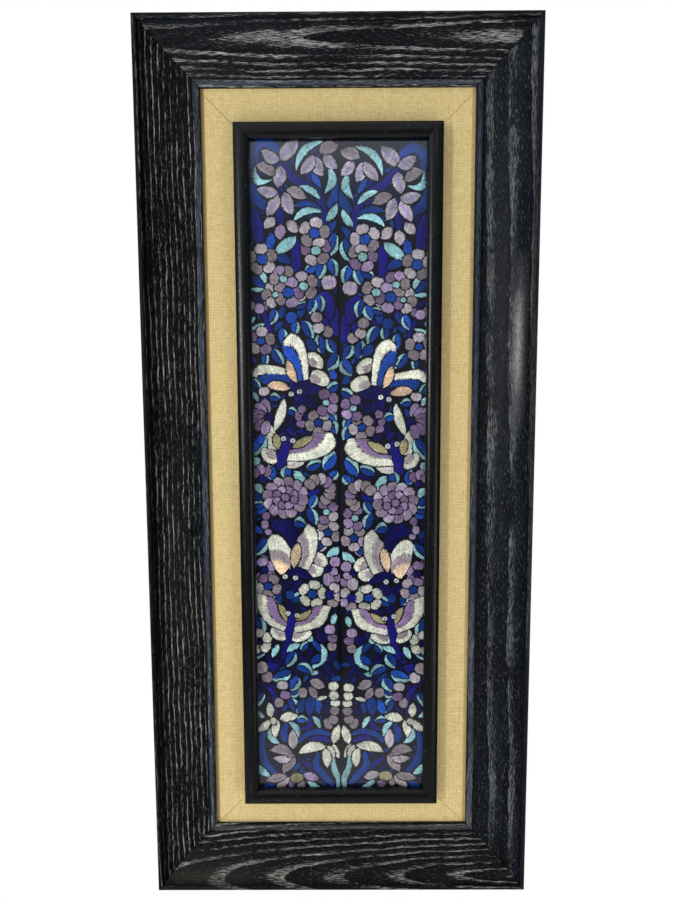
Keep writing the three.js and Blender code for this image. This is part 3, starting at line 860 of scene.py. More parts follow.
# Blossoms: middle, floss and radius of the eye, ring radius and petal radius, first petal (degrees), petals
blossoms = [
    (-20, 74, "B", 4.4, 8.6, 4.5, -77, "WMWMW"), (-18, 88, "A", 4.0, 8.6, 4.3, -28, "PPLP"),
    (-63, 95, "B", 4.4, 8.6, 4.5, -90, "WMWMM"), (-46, 111, "A", 3.2, 7.6, 4.2, -175, "PLP"),
    (-41, 122, "B", 4.6, 8.8, 4.4, -75, "LPLPP"), (-29, 117, "A", 3.7, 8.4, 4.3, -98, "WMMW"),
    (-52, 124, "A", 2.6, 7.4, 4.4, 108, "WMW"), (-65, 163, "B", 3.3, 8.0, 4.4, -88, "WMMWM"),
    (-10, 214, "A", 2.9, 7.4, 4.3, -100, "PPLP"), (-17, 231, "D", 3.4, 7.6, 4.1, -130, "MMWMM"),
    (-11, 309, "A", 3.0, 7.2, 4.0, -105, "PPLP"), (-10, 327, "D", 3.6, 7.8, 4.2, -125, "MWMWW"),
    (-62, 374, "D", 3.7, 7.8, 4.2, -45, "WMMWP"), (-23, 382, "D", 4.0, 8.6, 4.1, -150, "CCCCC"),
    (-8, 382, "I", 4.0, 7.8, 4.2, -42, "WWM"), (-65, 360, "N", 3.4, 7.4, 4.2, -98, "PLPP"),
    (-70, 424, "N", 3.0, 7.6, 4.6, -100, "CCCC"),
]

# Round pads: floss, middle, half width, half height, direction of the stitches (degrees)
rounds = [
    ("Q", -7, 114, 6, 6, 80), ("L", -66, 136, 4, 4.4, 90), ("P", -61, 134, 3.6, 3.6, 60),
    ("M", -72, 133, 3, 3.4, 90), ("N", -40, 134, 3.2, 2.6, 0), ("B", -39, 143, 5, 4.4, 0),
    ("M", -18, 143, 4.6, 4.4, 90), ("W", -16, 151, 4.4, 4.6, 60), ("M", -9, 155, 4.4, 4.6, 120),
    ("I", -12, 147, 4, 3.6, 0), ("W", -63, 205, 4.4, 3.8, 90), ("I", -63, 211, 2.6, 2.6, 0),
    ("N", -27, 226, 3.0, 3.4, 90), ("P", -31, 220, 3.4, 3.6, 60), ("P", -34, 226, 3.4, 3.6, 0),
    ("P", -32, 232, 3.8, 3.2, -60), ("A", -70, 265, 3.4, 3.6, 0), ("I", -65, 278, 3.8, 3.6, 0),
    ("P", -62, 312, 3.4, 3.4, 30), ("L", -64, 320, 3.4, 3.6, 0), ("L", -61, 326, 2.8, 2.6, 90),
    ("P", -66, 352, 4.6, 5.0, 90), ("L", -3, 353, 4.4, 4.8, 90), ("N", -11, 358, 4, 3.6, 0),
    ("L", -5, 361, 4.4, 3.4, 30), ("L", -9, 369, 4.6, 6.2, 90), ("P", -2, 367, 3.6, 4.6, 90),
    ("D", -43, 382, 3.4, 4.4, 90), ("L", -8, 414, 4.4, 4.6, 90), ("P", -6, 422, 4.6, 3.6, 20),
    ("P", -7, 429, 3.8, 4.6, 90), ("N", -15, 421, 5, 4.4, 0), ("A", -26, 422, 3, 2.8, 0),
    ("C", -62, 429, 2.4, 3.6, 90), ("M", -69, 448, 5.4, 5.6, 60), ("M", -64, 457, 4.6, 5.4, 90),
    ("L", -50, 465, 4.8, 4.2, 90), ("P", -48, 474, 4.8, 3.6, 20), ("P", -54, 481, 3.8, 4.8, 90),
    ("M", -33, 471, 3.8, 5.0, 90), ("C", -5, 466, 4.4, 4.2, 90), ("C", -5, 474, 4.4, 4.0, 30),
    ("C", -4, 481, 4.2, 3.4, 90), ("M", -4, 488, 4.4, 4.0, 30), ("M", -5, 496, 4.0, 4.6, 60),
    ("M", -10, 500, 3.8, 5.4, 80), ("N", -12, 488, 4.0, 3.8, 0), ("C", -59, 498, 2.8, 3.4, 90),
    ("K", -38, 551, 5.6, 4.8, 90), ("N", -65, 421, 3, 3, 0),
]

# Paths: floss, width, points
paths = [
    ("I", 6.5, (-46, 18), (-40, 26), (-31, 33), (-18, 41), (-12, 54), (-11, 67)),
    ("I", 6, (-47, 42), (-48, 54), (-47, 66)), ("I", 4, (-15, 12), (-24, 23), (-22, 34)),
    ("N", 4, (-55, 20), (-46, 18), (-38, 24)), ("I", 9, (-71, 54), (-67, 68), (-66, 85)),
    ("D", 7.5, (-48, 10), (-53, 4), (-61, 1), (-68, 7), (-67, 20)), ("D", 8, (-1, 29), (-1, 42), (-8, 52)),
    ("D", 8, (-71, 34), (-68, 46), (-56, 54)), ("I", 8, (-33, 80), (-35, 93), (-34, 109)),
    ("I", 9, (-15, 122), (-8, 129), (-8, 143)), ("I", 7, (-2, 136), (-3, 150), (-2, 158)),
    ("I", 4, (-63, 138), (-59, 148), (-56, 158)), ("N", 6, (-70, 124), (-66, 128), (-60, 128)),
    ("N", 12, (-15, 202), (-26, 201), (-38, 202)), ("I", 7, (-38, 198), (-37, 206)),
    ("N", 11, (-33, 206), (-31, 216), (-40, 236)), ("N", 8, (-24, 216), (-20, 214)),
    ("I", 9, (-43, 243), (-45, 254), (-49, 262), (-50, 272)), ("N", 8, (-60, 222), (-59, 231)),
    ("I", 4, (-27, 294), (-17, 290)), ("N", 14, (-57, 318), (-46, 322), (-40, 338)),
    ("N", 12, (-44, 360), (-31, 361), (-21, 366)), ("N", 9, (-52, 372), (-40, 378), (-33, 370)),
    ("N", 8, (-42, 388), (-43, 396)), ("I", 8, (-43, 397), (-43, 410), (-44, 424), (-49, 440)),
    ("A", 5, (-22, 425), (-14, 432), (-14, 441), (-23, 448)), ("N", 6, (-4, 436), (-13, 444), (-6, 456)),
    ("I", 8, (-64, 444), (-60, 448), (-55, 449)), ("N", 6, (-35, 438), (-30, 444), (-33, 452)),
    ("N", 5, (-14, 452), (-22, 458), (-29, 466)), ("I", 4, (-64, 466), (-58, 474), (-57, 492)),
    ("N", 5, (-70, 462), (-62, 466), (-56, 466)), ("I", 4, (-26, 492), (-26, 502), (-34, 506)),
    ("D", 7, (-67, 507), (-70, 522), (-66, 538), (-57, 548)), ("D", 6, (-47, 501), (-50, 510), (-49, 518)),
    ("D", 5, (-38, 519), (-29, 511), (-18, 508), (-8, 511)), ("I", 5, (-27, 517), (-18, 513), (-9, 517)),
    ("D", 6, (-19, 528), (-21, 540), (-13, 550), (-6, 559)),
    ("A", 5, (-6, 532), (-5, 543), (-1, 553), (-2, 563)),
    ("I", 4, (-36, 534), (-28, 540), (-22, 546)),
]

# Wings of one to three panels, the inner one first: floss, then its inner and its outer edge as a few points
wings = [
    [("B", ((-47, 167), (-44, 177), (-39, 187), (-35, 196)),
      ((-43, 166), (-37, 170), (-32, 180), (-30, 195))),
     ("C", ((-45, 168), (-40, 166), (-34, 173), (-31, 183), (-29, 195)),
      ((-46, 162), (-39, 156), (-30, 162), (-26, 176), (-25, 194)))],
    [("D", ((-62, 199), (-52, 196), (-40, 197)), ((-68, 193), (-62, 190), (-52, 190), (-41, 191))),
     ("C", ((-69, 193), (-64, 190), (-52, 190), (-41, 191)),
      ((-74, 190), (-67, 182), (-55, 183), (-42, 186)))],
    [("P", ((-42, 255), (-33, 253), (-26, 247), (-23, 241)),
      ((-42, 258), (-28, 256), (-17, 250), (-11, 241))),
     ("C", ((-42, 258), (-28, 256), (-17, 250), (-10, 240)),
      ((-44, 264), (-26, 264), (-9, 258), (-2, 250), (-5, 241)))],
    [("E", ((-59, 350), (-51, 351), (-43, 356)), ((-55, 359), (-51, 364), (-47, 362))),
     ("M", ((-59, 352), (-50, 353), (-43, 359)), ((-60, 343), (-53, 342), (-47, 345), (-42, 351))),
     ("C", ((-60, 344), (-53, 342), (-47, 345), (-42, 351)),
      ((-62, 333), (-57, 328), (-49, 331), (-41, 343)))],
    [("M", ((-36, 332), (-33, 344), (-35, 357)), ((-29, 325), (-26, 338), (-29, 357))),
     ("C", ((-31, 326), (-27, 336), (-27, 348), (-32, 358)),
      ((-26, 319), (-19, 326), (-19, 342), (-26, 360)))],
    [("P", ((-57, 386), (-54, 393), (-51, 402), (-46, 407)),
      ((-62, 384), (-62, 396), (-57, 405), (-47, 411))),
     ("C", ((-62, 384), (-62, 396), (-57, 405), (-47, 411)),
      ((-73, 380), (-71, 396), (-63, 408), (-49, 415)))],
    [("P", ((-38, 407), (-30, 404), (-25, 399), (-21, 393)),
      ((-39, 411), (-28, 408), (-19, 401), (-14, 392))),
     ("C", ((-39, 411), (-28, 408), (-19, 401), (-14, 392)),
      ((-39, 417), (-25, 414), (-13, 408), (-7, 393)))],
]

# Bars on the wings, written as leaves are
wingBars = [
    ("E", -43, 179, -35, 197, 7, -1), ("E", -60, 200, -41, 202, 7.5, 1), ("K", -54, 241, -51, 254, 6.5, 0),
    ("K", -39, 253, -22, 243, 6.5, 0), ("E", -36, 336, -39, 358, 8, 0), ("K", -53, 391, -46, 406, 5.5, 1),
    ("K", -38, 405, -25, 396, 5.5, -1),
]

# Scallops: floss of rim and heart, the point they spread from, reach along x and y, heart's share,
# from and to (degrees)
fans = [
    ("CM", -25, 183, 13, 12, 0.55, -95, 15), ("CM", -25, 196, 18, 11, 0.55, -75, 30),
    ("CM", -54, 255, 13, 12.5, 0.62, 85, 190), ("CW", -43, 262, 15, 9.5, 0.66, -2, 95),
    ("CM", -22, 354, 12.5, 11, 0.58, -95, 20), ("CM", -28, 360, 14.5, 9, 0.58, -55, 60),
    ("CM", -49, 413, 12.5, 11.5, 0.66, 80, 185), ("CM", -40, 415, 16.5, 10.5, 0.66, -5, 95),
]

# The butterflies' eyes, and flowers of which half shows
eyes = [(-40, 207), (-33, 205), (-47, 245), (-39, 247), (-47, 366), (-38, 367), (-45, 399), (-37, 401)]
halfFlowers = [
    # middle, petal length and width, distance, from and to (degrees), petals
    (-60, 226, 13, 7.0, 9.5, 92, 272, "LPPPLL"), (-16, 290, 10.5, 7.4, 9.6, -165, 75, "MMWMMMM"),
    (-66, 278, 9, 7, 6.8, -170, -20, "PLP"),
]
peony = {
    "middle": (-46, 296), "heart": 3.4,
    "oval": (1.06, 0.95),  # wider than high
    # distance, half width and half length of its petals, their number, the first one's angle, their floss
    "rings": [(7.4, 3.36, 3.456, 8, 20, ("P", "L")), (13.6, 4.48, 5.724, 12, 8, ("PM", "LM", "LW"))],
}


def along(points, count):
    # count places on a smooth path through a few points (Catmull-Rom: each piece a cubic through its ends)
    p = np.array(points, float)
    p = np.concatenate([[2 * p[0] - p[1]], p, [2 * p[-1] - p[-2]]])
    place = np.linspace(0, len(points) - 1, count)
    piece = np.minimum(place.astype(int), len(points) - 2)
    t = (place - piece)[:, None]
    a, b, c, d = [p[piece + k] for k in range(4)]
    square, cube = 2 * a - 5 * b + 4 * c - d, 3 * b - a - 3 * c + d
    return 0.5 * (2 * b + (c - a) * t + square * t ** 2 + cube * t ** 3)


def evenly(points, count):
    # count places at even distances on the same kind of path
    fine = along(points, 200)
    arc = arcLengths(fine)
    want = np.linspace(0, arc[-1], count)
    return np.stack([np.interp(want, arc, fine[:, 0]), np.interp(want, arc, fine[:, 1])], 1)


class StitchBook:
    # gathers stitches: where each starts and ends, its floss and its layer. What is sewn first lies on top:
    # a grid of small cells (in millimetres) tells which silk is taken, and later stitches stop short of it
    cell = 0.4

    def __init__(self, seed):
        self.rng = np.random.default_rng(seed)
        self.rows = []
        self.fresh = []
        self.taken = np.zeros((int(silkBand["height"] / self.cell), int(silkBand["width"] / self.cell)), bool)

    def cells(self, places):
        # the grid's row and column of each place on the silk
        row = (places[..., 1] / self.cell).astype(int).clip(0, self.taken.shape[0] - 1)
        column = (-places[..., 0] / self.cell).astype(int).clip(0, self.taken.shape[1] - 1)
        return row, column

    def pad(self, starts, ends, code, layer, over=False):
        # one pad of side-by-side stitches. Each keeps its longest stretch over bare silk, unless it goes over
        # other stitches: run counts the free samples in a row, so its largest value ends that stretch.
        # Two letters shade the stitches from the first floss to the second. Pads and stitches differ in tone
        rng, samples = self.rng, stitching["samples"]
        way = ends - starts
        share = ((np.arange(samples) + 0.5) / samples)[:, None]
        free = ~self.taken[self.cells(starts[:, None] + way[:, None] * share)]
        free |= over
        run = np.zeros(free.shape)
        run[:, 0] = free[:, 0]
        for k in range(1, samples):
            run[:, k] = (run[:, k - 1] + 1) * free[:, k]
        last, length = run.argmax(1)[:, None], run.max(1)[:, None]
        starts, ends = starts + way * (last + 1 - length) / samples, starts + way * (last + 1) / samples
        keep = np.hypot(*(ends - starts).T) > stitching["shortest"]
        starts, ends = starts[keep], ends[keep]
        count = len(starts)
        first, last = floss[code[0]], floss[code[-1]]
        tints = np.array([linear(c)[:3] for c in (first[0], first[1], last[1], last[0])])
        tints = [tints[0], tints[1:3].mean(0), tints[3]]
        # neighbouring stitches share part of their tone; 1.12 brings the sum of the two back to a spread of 1
        noise = rng.standard_normal(count + 1)
        noise = (noise[:-1] + 0.5 * noise[1:])[:, None] / 1.12
        tone = (1 + stitching["padTone"] * rng.standard_normal()) * (1 + stitching["tone"] * noise)
        tone = np.clip(tone, *stitching["toneWithin"])
        tints = [tint * tone * (1 + stitching["patch"] * rng.standard_normal((count, 1))) for tint in tints]
        rows = np.concatenate([starts, ends, *tints, np.full((count, 1), layer)], 1)
        self.rows.append(rows)
        self.fresh.append(rows)

    def settle(self, margin=stitching["void"]):
        # the silk under the newest stitches, and a margin round them, is taken
        rows = np.concatenate(self.fresh)
        self.fresh = []
        share = np.linspace(0, 1, 60)[:, None, None]
        places = (rows[:, 0:2] + (rows[:, 2:4] - rows[:, 0:2]) * share).reshape(-1, 2)
        for dx in (-margin, 0, margin):
            for dy in (-margin, 0, margin):
                self.taken[self.cells(places + (dx, dy))] = True

    def leaf(self, code, x0, y0, x1, y1, width, bow, layer):
        # midline: a parabola that bows sideways; half width = width / 2 x sin(pi t^belly)^round;
        # each stitch crosses it on a slant, and a two-tone leaf is split lengthwise
        start, tip = np.array([x0, y0], float), np.array([x1, y1], float)
        length = max(float(np.hypot(*(tip - start))), 1.0)
        count = max(6, int(length * 1.05 / stitching["pitch"]))
        ahead = (tip - start) / length
        aside = np.array([ahead[1], -ahead[0]])

        def edge(t, sign):
            t = np.clip(t, 0, 1)[:, None]
            middle = start + (tip - start) * t + aside * bow * 4 * t * (1 - t)
            share = np.sin(np.pi * t ** leafShape["belly"]) ** leafShape["round"]
            return middle + aside * sign * (stitching["full"] * width / 2 * share)

        t = (np.arange(count) + 0.5) / count
        slant = min(0.5 * width / length, leafShape["mostSlant"]) * 0.7
        left, right = edge(t + slant, 1), edge(t - slant, -1)
        if len(code) == 1:
            self.pad(left, right, code, layer)
            return
        share = leafShape["split"] if code[0] == "A" else 1 - leafShape["split"]
        gap = leafShape["gap"] / width
        self.pad(left, left + (right - left) * (share - gap), code[0], layer)
        self.pad(left + (right - left) * (share + gap), right, code[1], layer)

    def roundPad(self, code, x, y, halfAcross, halfAlong, angle, layer, over=False):
        # parallel stitches inside a superellipse:
        # half length = halfAlong x (1 - |offset / halfAcross|^power)^(1 / power)
        turn, power = math.radians(angle), stitching["roundPower"]
        ahead, aside = np.array([math.cos(turn), math.sin(turn)]), np.array([-math.sin(turn), math.cos(turn)])
        halfAcross, halfAlong = max(halfAcross, 0.5), max(halfAlong, 0.5)
        count = max(3, int(2 * halfAcross / stitching["pitch"]))
        offset = ((np.arange(count) + 0.5) / count * 2 - 1) * halfAcross
        reach = halfAlong * (1 - np.abs(offset / halfAcross) ** power) ** (1 / power)
        middle = np.array([x, y]) + offset[:, None] * aside
        self.pad(middle - reach[:, None] * ahead, middle + reach[:, None] * ahead, code, layer, over)

    def petal(self, code, x, y, distance, angle, halfAcross, halfAlong, layer, oval=(1, 1)):
        # a round pad at a distance from a flower's middle, stitched outwards
        turn = math.radians(angle)
        self.roundPad(code, x + distance * oval[0] * math.cos(turn), y + distance * oval[1] * math.sin(turn),
                      halfAcross, halfAlong, angle, layer)
        self.settle()

    def blossom(self, x, y, ring, petal, first, codes, layer):
        # round petals on a ring: five fill it, and fewer leave it open
        step = 72 if len(codes) > 3 else 62
        for number, code in enumerate(codes):
            self.petal(code, x, y, ring, first + step * number, max(petal, 0.6 * ring), petal, layer)

    def halfFlower(self, x, y, length, width, distance, fromAngle, toAngle, codes, layer):
        # long petals set round part of a circle
        for number, code in enumerate(codes):
            angle = fromAngle + (toAngle - fromAngle) * (number + 0.5) / len(codes)
            self.petal(code, x, y, distance, angle, width / 2 * 1.05, length / 2, layer)

    def path(self, code, width, points, layer):
        # short slanted stitches across a path that narrows at both ends
        count = max(6, int(arcLengths(points)[-1] * 1.1 / stitching["pitch"]))
        middle = along(points, count)
        ahead = np.gradient(middle, axis=0)
        ahead /= np.maximum(np.hypot(*ahead.T)[:, None], 1e-6)
        aside = np.stack([ahead[:, 1], -ahead[:, 0]], 1)
        t = (np.arange(count) + 0.5) / count
        half = stitching["full"] * width / 2 * (0.35 + 0.65 * np.sin(np.pi * t) ** 0.5)[:, None]
        across = (aside + 0.35 * ahead) * half
        self.pad(middle + across, middle - across, code, layer)

    def wing(self, code, inner, outer, layer):
        # stitches run from the inner edge, which is combed, to the outer edge
        count = int(max(arcLengths(inner)[-1], arcLengths(outer)[-1]) * 1.3 / stitching["pitch"])
        a, b = evenly(inner, count), evenly(outer, count)
        comb = self.rng.normal(0, 0.10, (count, 1))
        self.pad(a + (a - b) * np.clip(comb, -0.15, 0.25), b, code, layer)

    def fan(self, codes, x, y, reachX, reachY, heart, fromAngle, toAngle, layer):
        # a scallop spreads from one point: the heart is one floss and the rim, combed into it, another
        count = int(math.radians(abs(toAngle - fromAngle)) * max(reachX, reachY) * 0.95 / stitching["pitch"])
        t = np.linspace(0, 1, count)
        turn = np.radians(fromAngle + (toAngle - fromAngle) * t)
        ray = np.stack([reachX * np.cos(turn), reachY * np.sin(turn)], 1)
        ray *= (1 - 0.16 * np.abs(2 * t - 1) ** 4)[:, None]
        start = np.array([x, y], float)
        border = heart + self.rng.normal(0, 0.05, (count, 1))
        self.pad(start + ray * 0.12, start + ray * border, codes[1], layer)
        self.pad(start + ray * border, start + ray, codes[0], layer)

    def eye(self, x, y, layer):
        # a white disc, and a dark pupil sewn over it
        self.roundPad("X", x, y, 2.1, 2.2, 90, layer)
        self.settle()
        self.roundPad("N", x, y, 1.0, 1.0, 0, layer + 1, over=True)
        self.settle(stitching["touch"])


# Hand work: how far a motif is jogged (mm) and a blossom or a peony's petal turned (degrees), which floss may
# stand in for which and how often, where both ends are greyer, and below where the blues are deeper
handWork = {
    "jog": 0.3, "turn": 5, "petalTurn": 1.5,
    "swap": {"M": "WP", "W": "ML", "P": "LM", "L": "PW", "B": "D", "D": "B"}, "swapShare": 0.10,
    "greyer": {"L": "W", "P": "M"}, "greyEnds": (125, 425), "greyShare": 0.6,
    "deeper": {"B": "D"}, "deepBelow": 400, "deepShares": (0.12, 0.75),  # above and below
}


def recolour(rng, codes, y, p):
    # each letter may give way to a floss like it
    made = ""
    top, foot = p["greyEnds"]
    for c in codes:
        if c in p["swap"] and rng.random() < p["swapShare"]:
            c = rng.choice(list(p["swap"][c]))
        if c in p["greyer"] and not top <= y <= foot and rng.random() < p["greyShare"]:
            c = p["greyer"][c]
        if c in p["deeper"] and rng.random() < p["deepShares"][y > p["deepBelow"]]:
            c = p["deeper"][c]
        made += c
    return made


def stitchBand(seed, p):
    # every motif is jogged, turned and here and there recoloured a little; hearts and eyes are sewn before
    # the petals round them, so that they lie on top
    book = StitchBook(seed)
    rng = book.rng

    def nudge():
        return rng.normal(0, p["jog"], 2)

    for x, y in eyes:
        book.eye(x, y, 3)
    for row in wingBars:
        book.leaf(*row, 3)
        book.settle()
    for panels in wings:
        # the panels of one wing are combed into each other, the inner one on top
        for number, (code, inner, outer) in enumerate(panels):
            book.wing(code, inner, outer, 3 - number)
        book.settle()
    for row in fans:
        book.fan(*row, 2)
        book.settle()
    book.roundPad("P", *peony["middle"], peony["heart"], peony["heart"], 90, 3)
    book.settle()
    for distance, *halves, number, first, codes in peony["rings"]:
        for k in range(number):
            angle = 360 * k / number + first + rng.normal(0, p["petalTurn"])
            code = codes[k % len(codes)]
            book.petal(code, *peony["middle"], distance, angle, *halves, 2, peony["oval"])
    for x, y, *shape, codes in halfFlowers:
        dx, dy = nudge()
        book.halfFlower(x + dx, y + dy, *shape, recolour(rng, codes, y, p), 2)
    middles = [np.array(row[:2]) + nudge() for row in blossoms]
    for middle, row in zip(middles, blossoms):
        radius = row[3] - 0.3
        book.roundPad(row[2], *middle, radius, radius, 90, 3)
        book.settle()
    for number, row in enumerate(blossoms):
        ring, petal, first, codes = row[4:]
        first += rng.normal(0, p["turn"])
        codes = recolour(rng, codes, row[1], p)
        book.blossom(*middles[number], ring, petal, first, codes, 2 + number % 2)
    for code, x, y, halfWidth, halfHeight, angle in rounds:
        dx, dy = nudge()
        # the ellipse's axes follow the stitches
        upright = 45 < angle % 180 < 135
        across, ahead = (halfWidth, halfHeight) if upright else (halfHeight, halfWidth)
        book.roundPad(recolour(rng, code, y, p), x + dx, y + dy, across, ahead, angle, 2)
        book.settle()
    for code, x0, y0, x1, y1, width, bow in leaves:
        dx, dy = nudge()
        book.leaf(recolour(rng, code, y0, p), x0 + dx, y0 + dy, x1 + dx, y1 + dy, width, bow, 2)
        book.settle()
    for code, width, *points in paths:
        book.path(code, width, np.array(points) + nudge(), 1)
        book.settle()
    fillGround(book, groundFill)
    return np.concatenate(book.rows), rng


# Small dark leaves between the motifs. Half length and half width: the least, and how much more at the first
# try; longer by up to a random share; the low and high corner of where their middles may lie
groundFill = {
    "tries": 14000, "halfLength": (1.7, 3.7), "longer": 1.2, "halfWidth": (0.85, 1.25),
    "low": (-74.5, 3), "high": (-2.0, 560), "upper": "DDNI", "lower": "DNNNI", "lowerFrom": 190,
}


def fillGround(book, p):
    # one goes in wherever the ground is still bare, when no point along or beside its midline lies on taken
    # silk; they get smaller as the tries go on
    rng = book.rng
    share, beside = np.linspace(-1, 1, 9)[:, None], np.array([-1, 0, 1])[None, :]
    outline = beside * np.sqrt(1 - share ** 2) * 0.7
    for attempt in range(p["tries"]):
        size = 1 - attempt / p["tries"]
        half = np.array([p["halfLength"][0] + p["halfLength"][1] * size + rng.uniform(0, p["longer"]) * size,
                         p["halfWidth"][0] + p["halfWidth"][1] * size])
        middle = np.array([rng.uniform(p["low"][k], p["high"][k]) for k in (0, 1)])
        turn = rng.uniform(0, np.pi)
        ahead, aside = np.array([np.cos(turn), np.sin(turn)]), np.array([-np.sin(turn), np.cos(turn)])
        spots = middle + (share * half[0])[..., None] * ahead + (outline * half[1])[..., None] * aside
        if book.taken[book.cells(spots)].any():
            continue
        code = rng.choice(list(p["upper"] if middle[1] < p["lowerFrom"] else p["lower"]))
        ends = (*(middle - ahead * half[0]), *(middle + ahead * half[0]))
        book.leaf(code, *ends, 2 * half[1] + 0.3, rng.normal(0, 0.3), 1)
        book.settle(stitching["void"] - 0.1)


def silkFloss():
    # untwisted filament silk in satin stitch: rows of round glossy threads, each in its own tint, a little
    # soiled in patches and lighter and darker along its fibres
    material, add = newMaterial("silkFloss")
    place = add("TexCoord", out="Object")
    soil = add("TexNoise", {"Vector": place, "Scale": 120.0, "Detail": 3.0})
    lustre = add("TexNoise", {"Vector": place, "Scale": 1050.0, "Detail": 1.0})
    tone = add("Math.MULTIPLY", add("Math.MULTIPLY_ADD", soil, 0.8, 0.6),
               add("Math.MULTIPLY_ADD", lustre, 1.4, 0.3))
    tint = add("Attribute", attribute_name="tint", out="Color")
    colour = add("Mix.MULTIPLY", 1.0, tint, add("CombineColor", tone, tone, tone))
    fibre = add("TexNoise", {"Vector": place, "Scale": 3500.0, "Detail": 1.0})
    finishMaterial(add, fibre, 0.2, 0.00005, {
        "Base Color": colour, "Roughness": 0.46, "Specular IOR Level": 0.11,
        "Sheen Weight": 0.02, "Sheen Roughness": 0.35})
    return material


# A thread at five stations along its run: how wide it is, how far its arch has risen and how thick it is.
# Above the silk (mm): its foot, each further layer, and a random lift
thread = {
    "stations": (0, 0.10, 0.5, 0.90, 1.0), "width": (0, 0.85, 1.0, 0.85, 0), "rise": (0, 0.75, 1.0, 0.75, 0),
    "body": (0.1, 0.85, 1, 0.85, 0.1), "above": 0.07, "layer": 0.075, "lift": 0.05,
    "low": (0.4, -4.0), "high": (-0.35, 5.4),  # margins of the sewn area
}


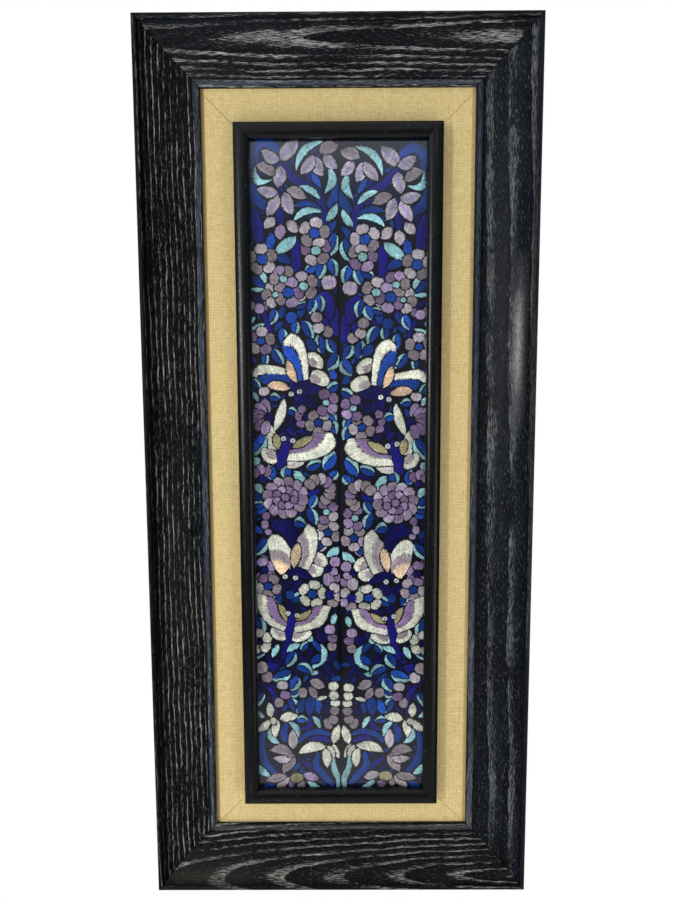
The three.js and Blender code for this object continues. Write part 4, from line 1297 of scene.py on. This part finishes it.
def threadMesh(name, rows, sign, material, rng):
    # each stitch is a closed three-sided thread: two points where it enters the silk and three rings between;
    # it rises as an arch, and its end rings are narrower
    p = silkBand
    start, end = rows[:, 0:2].copy(), rows[:, 2:4].copy()
    tints, layer = rows[:, 4:13], rows[:, 13]
    run = end - start
    length = np.maximum(np.hypot(*run.T), 0.2)[:, None]
    ahead = run / length
    start -= ahead * rng.normal(0, stitching["ragged"], length.shape) * np.minimum(length / 5, 1)
    end += ahead * rng.normal(0, stitching["ragged"], length.shape) * np.minimum(length / 5, 1)
    low = np.array([thread["low"][0] - p["width"], thread["low"][1]])
    high = np.array([thread["high"][0], p["height"] - thread["high"][1]])
    start, end = np.clip(start, low, high), np.clip(end, low, high)
    run = end - start
    length = np.hypot(*run.T)
    keep = length > 0.7
    start, tints, layer, run, length = [values[keep] for values in (start, tints, layer, run, length)]
    count = len(start)
    ahead = run / length[:, None]
    aside = np.stack([ahead[:, 1], -ahead[:, 0]], 1)[:, None, :]
    half = 0.5 * stitching["pitch"] * rng.uniform(0.95, 1.25, (count, 1))
    stations, width, rise, body = [np.array(thread[key]) for key in ("stations", "width", "rise", "body")]
    base = p["front"] + thread["above"] + thread["layer"] * layer[:, None]
    base = base + rng.uniform(0, thread["lift"], (count, 1))
    arch = stitching["arch"] * np.clip(length / 7, 0.3, 1.2)[:, None]
    spine = start[:, None, :] + run[:, None, :] * stations[None, :, None]
    foot = base + arch * rise * 0.6
    crest = base + stitching["thick"] * body + arch * rise
    beside = aside * (half * width)[:, :, None]

    def place(flat, forward):
        return np.stack([-sign * flat[..., 0], -forward, p["sightTop"] - flat[..., 1]], -1)

    # stitch, station, corner; the first and last station have one point each
    rings = np.stack([place(spine + beside, foot), place(spine, crest), place(spine - beside, foot)], 2)
    between = rings[:, 1:4].reshape(count, 9, 3)
    points = np.concatenate([rings[:, 0, 1:2], between, rings[:, 4, 1:2]], 1) / 1000

    # one thread's faces and their places on its patch of the UV map: two rows of quads, then its tips
    around = [(s, (s + 1) % 3) for s in range(3)]
    quads = [[1 + r + s, 1 + r + t, 4 + r + t, 4 + r + s] for r in (0, 3) for s, t in around]
    tips = [[0, 1 + t, 1 + s] for s, t in around] + [[10, 7 + s, 7 + t] for s, t in around]
    flat = [[(r, s), (r, s + 1), (r + 1, s + 1), (r + 1, s)] for r in (1, 2) for s in range(3)]
    flat += [[(0, s + 0.5), (1, s + 1), (1, s)] for s in range(3)]
    flat += [[(4, s + 0.5), (3, s), (3, s + 1)] for s in range(3)]
    faces = quads + tips
    if sign > 0:
        faces, flat = [face[::-1] for face in faces], [face[::-1] for face in flat]
    loops = (np.arange(count)[:, None] * 11 + np.array(sum(faces, []))).ravel().astype(np.int32)
    mesh = bpy.data.meshes.new(name)
    fillMesh(mesh, points.reshape(-1, 3), loops, [len(face) for face in faces] * count, count * len(faces))
    patches = math.ceil(math.sqrt(count))
    corner = np.stack([np.arange(count) % patches, np.arange(count) // patches], 1)[:, None, :]
    uv = (corner + np.array(sum(flat, []), float) / [4, 3] * 0.8 + 0.1) / patches
    mesh.uv_layers.new(name="OFBake").uv.foreach_set("vector", uv.astype(np.float32).ravel())
    shade = np.ones((count, 11, 4), np.float32)
    shade[:, :, :3] = tints.reshape(count, 3, 3)[:, [0] * 4 + [1] * 3 + [2] * 4]
    mesh.attributes.new("tint", "FLOAT_COLOR", "POINT").data.foreach_set("color", shade.ravel())
    mesh.materials.append(material)
    made = showObject(name, mesh)
    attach(made, "root")
    return made


# Both bands are sewn from the same drawing, and the right one is turned over. Where each differs (mm): how
# far it is set out from the seam, how much lower it is sewn, and how much its foot is drawn up again
bandLook = {
    "left": {"sign": -1, "seed": 5, "out": 0.8, "lower": 0.0, "back": 0.0},
    "right": {"sign": 1, "seed": 19, "out": 2.2, "lower": 5.0, "back": 6.5},
}


def makeEmbroidery(looks):
    ground, silk = blackSilk(), silkFloss()
    for side, look in looks.items():
        band = makeSilkBand(side, look["sign"], ground, silkBand)
        rows, rng = stitchBand(look["seed"], handWork)
        rows[:, [0, 2]] -= look["out"]
        down = rows[:, [1, 3]]
        rows[:, [1, 3]] = down + look["lower"] - look["back"] * np.clip((down - 330) / 230, 0, 1)
        upper = (rows[:, 1] + rows[:, 3]) / 2 < 300
        pieces = [threadMesh("embroidery_" + side + "_" + part, rows[mask], look["sign"], silk, rng)
                  for part, mask in (("upper", upper), ("lower", ~upper))]
        print(side, "band:", len(rows), "stitches")


makeEmbroidery(bandLook)


print("all pieces ready")
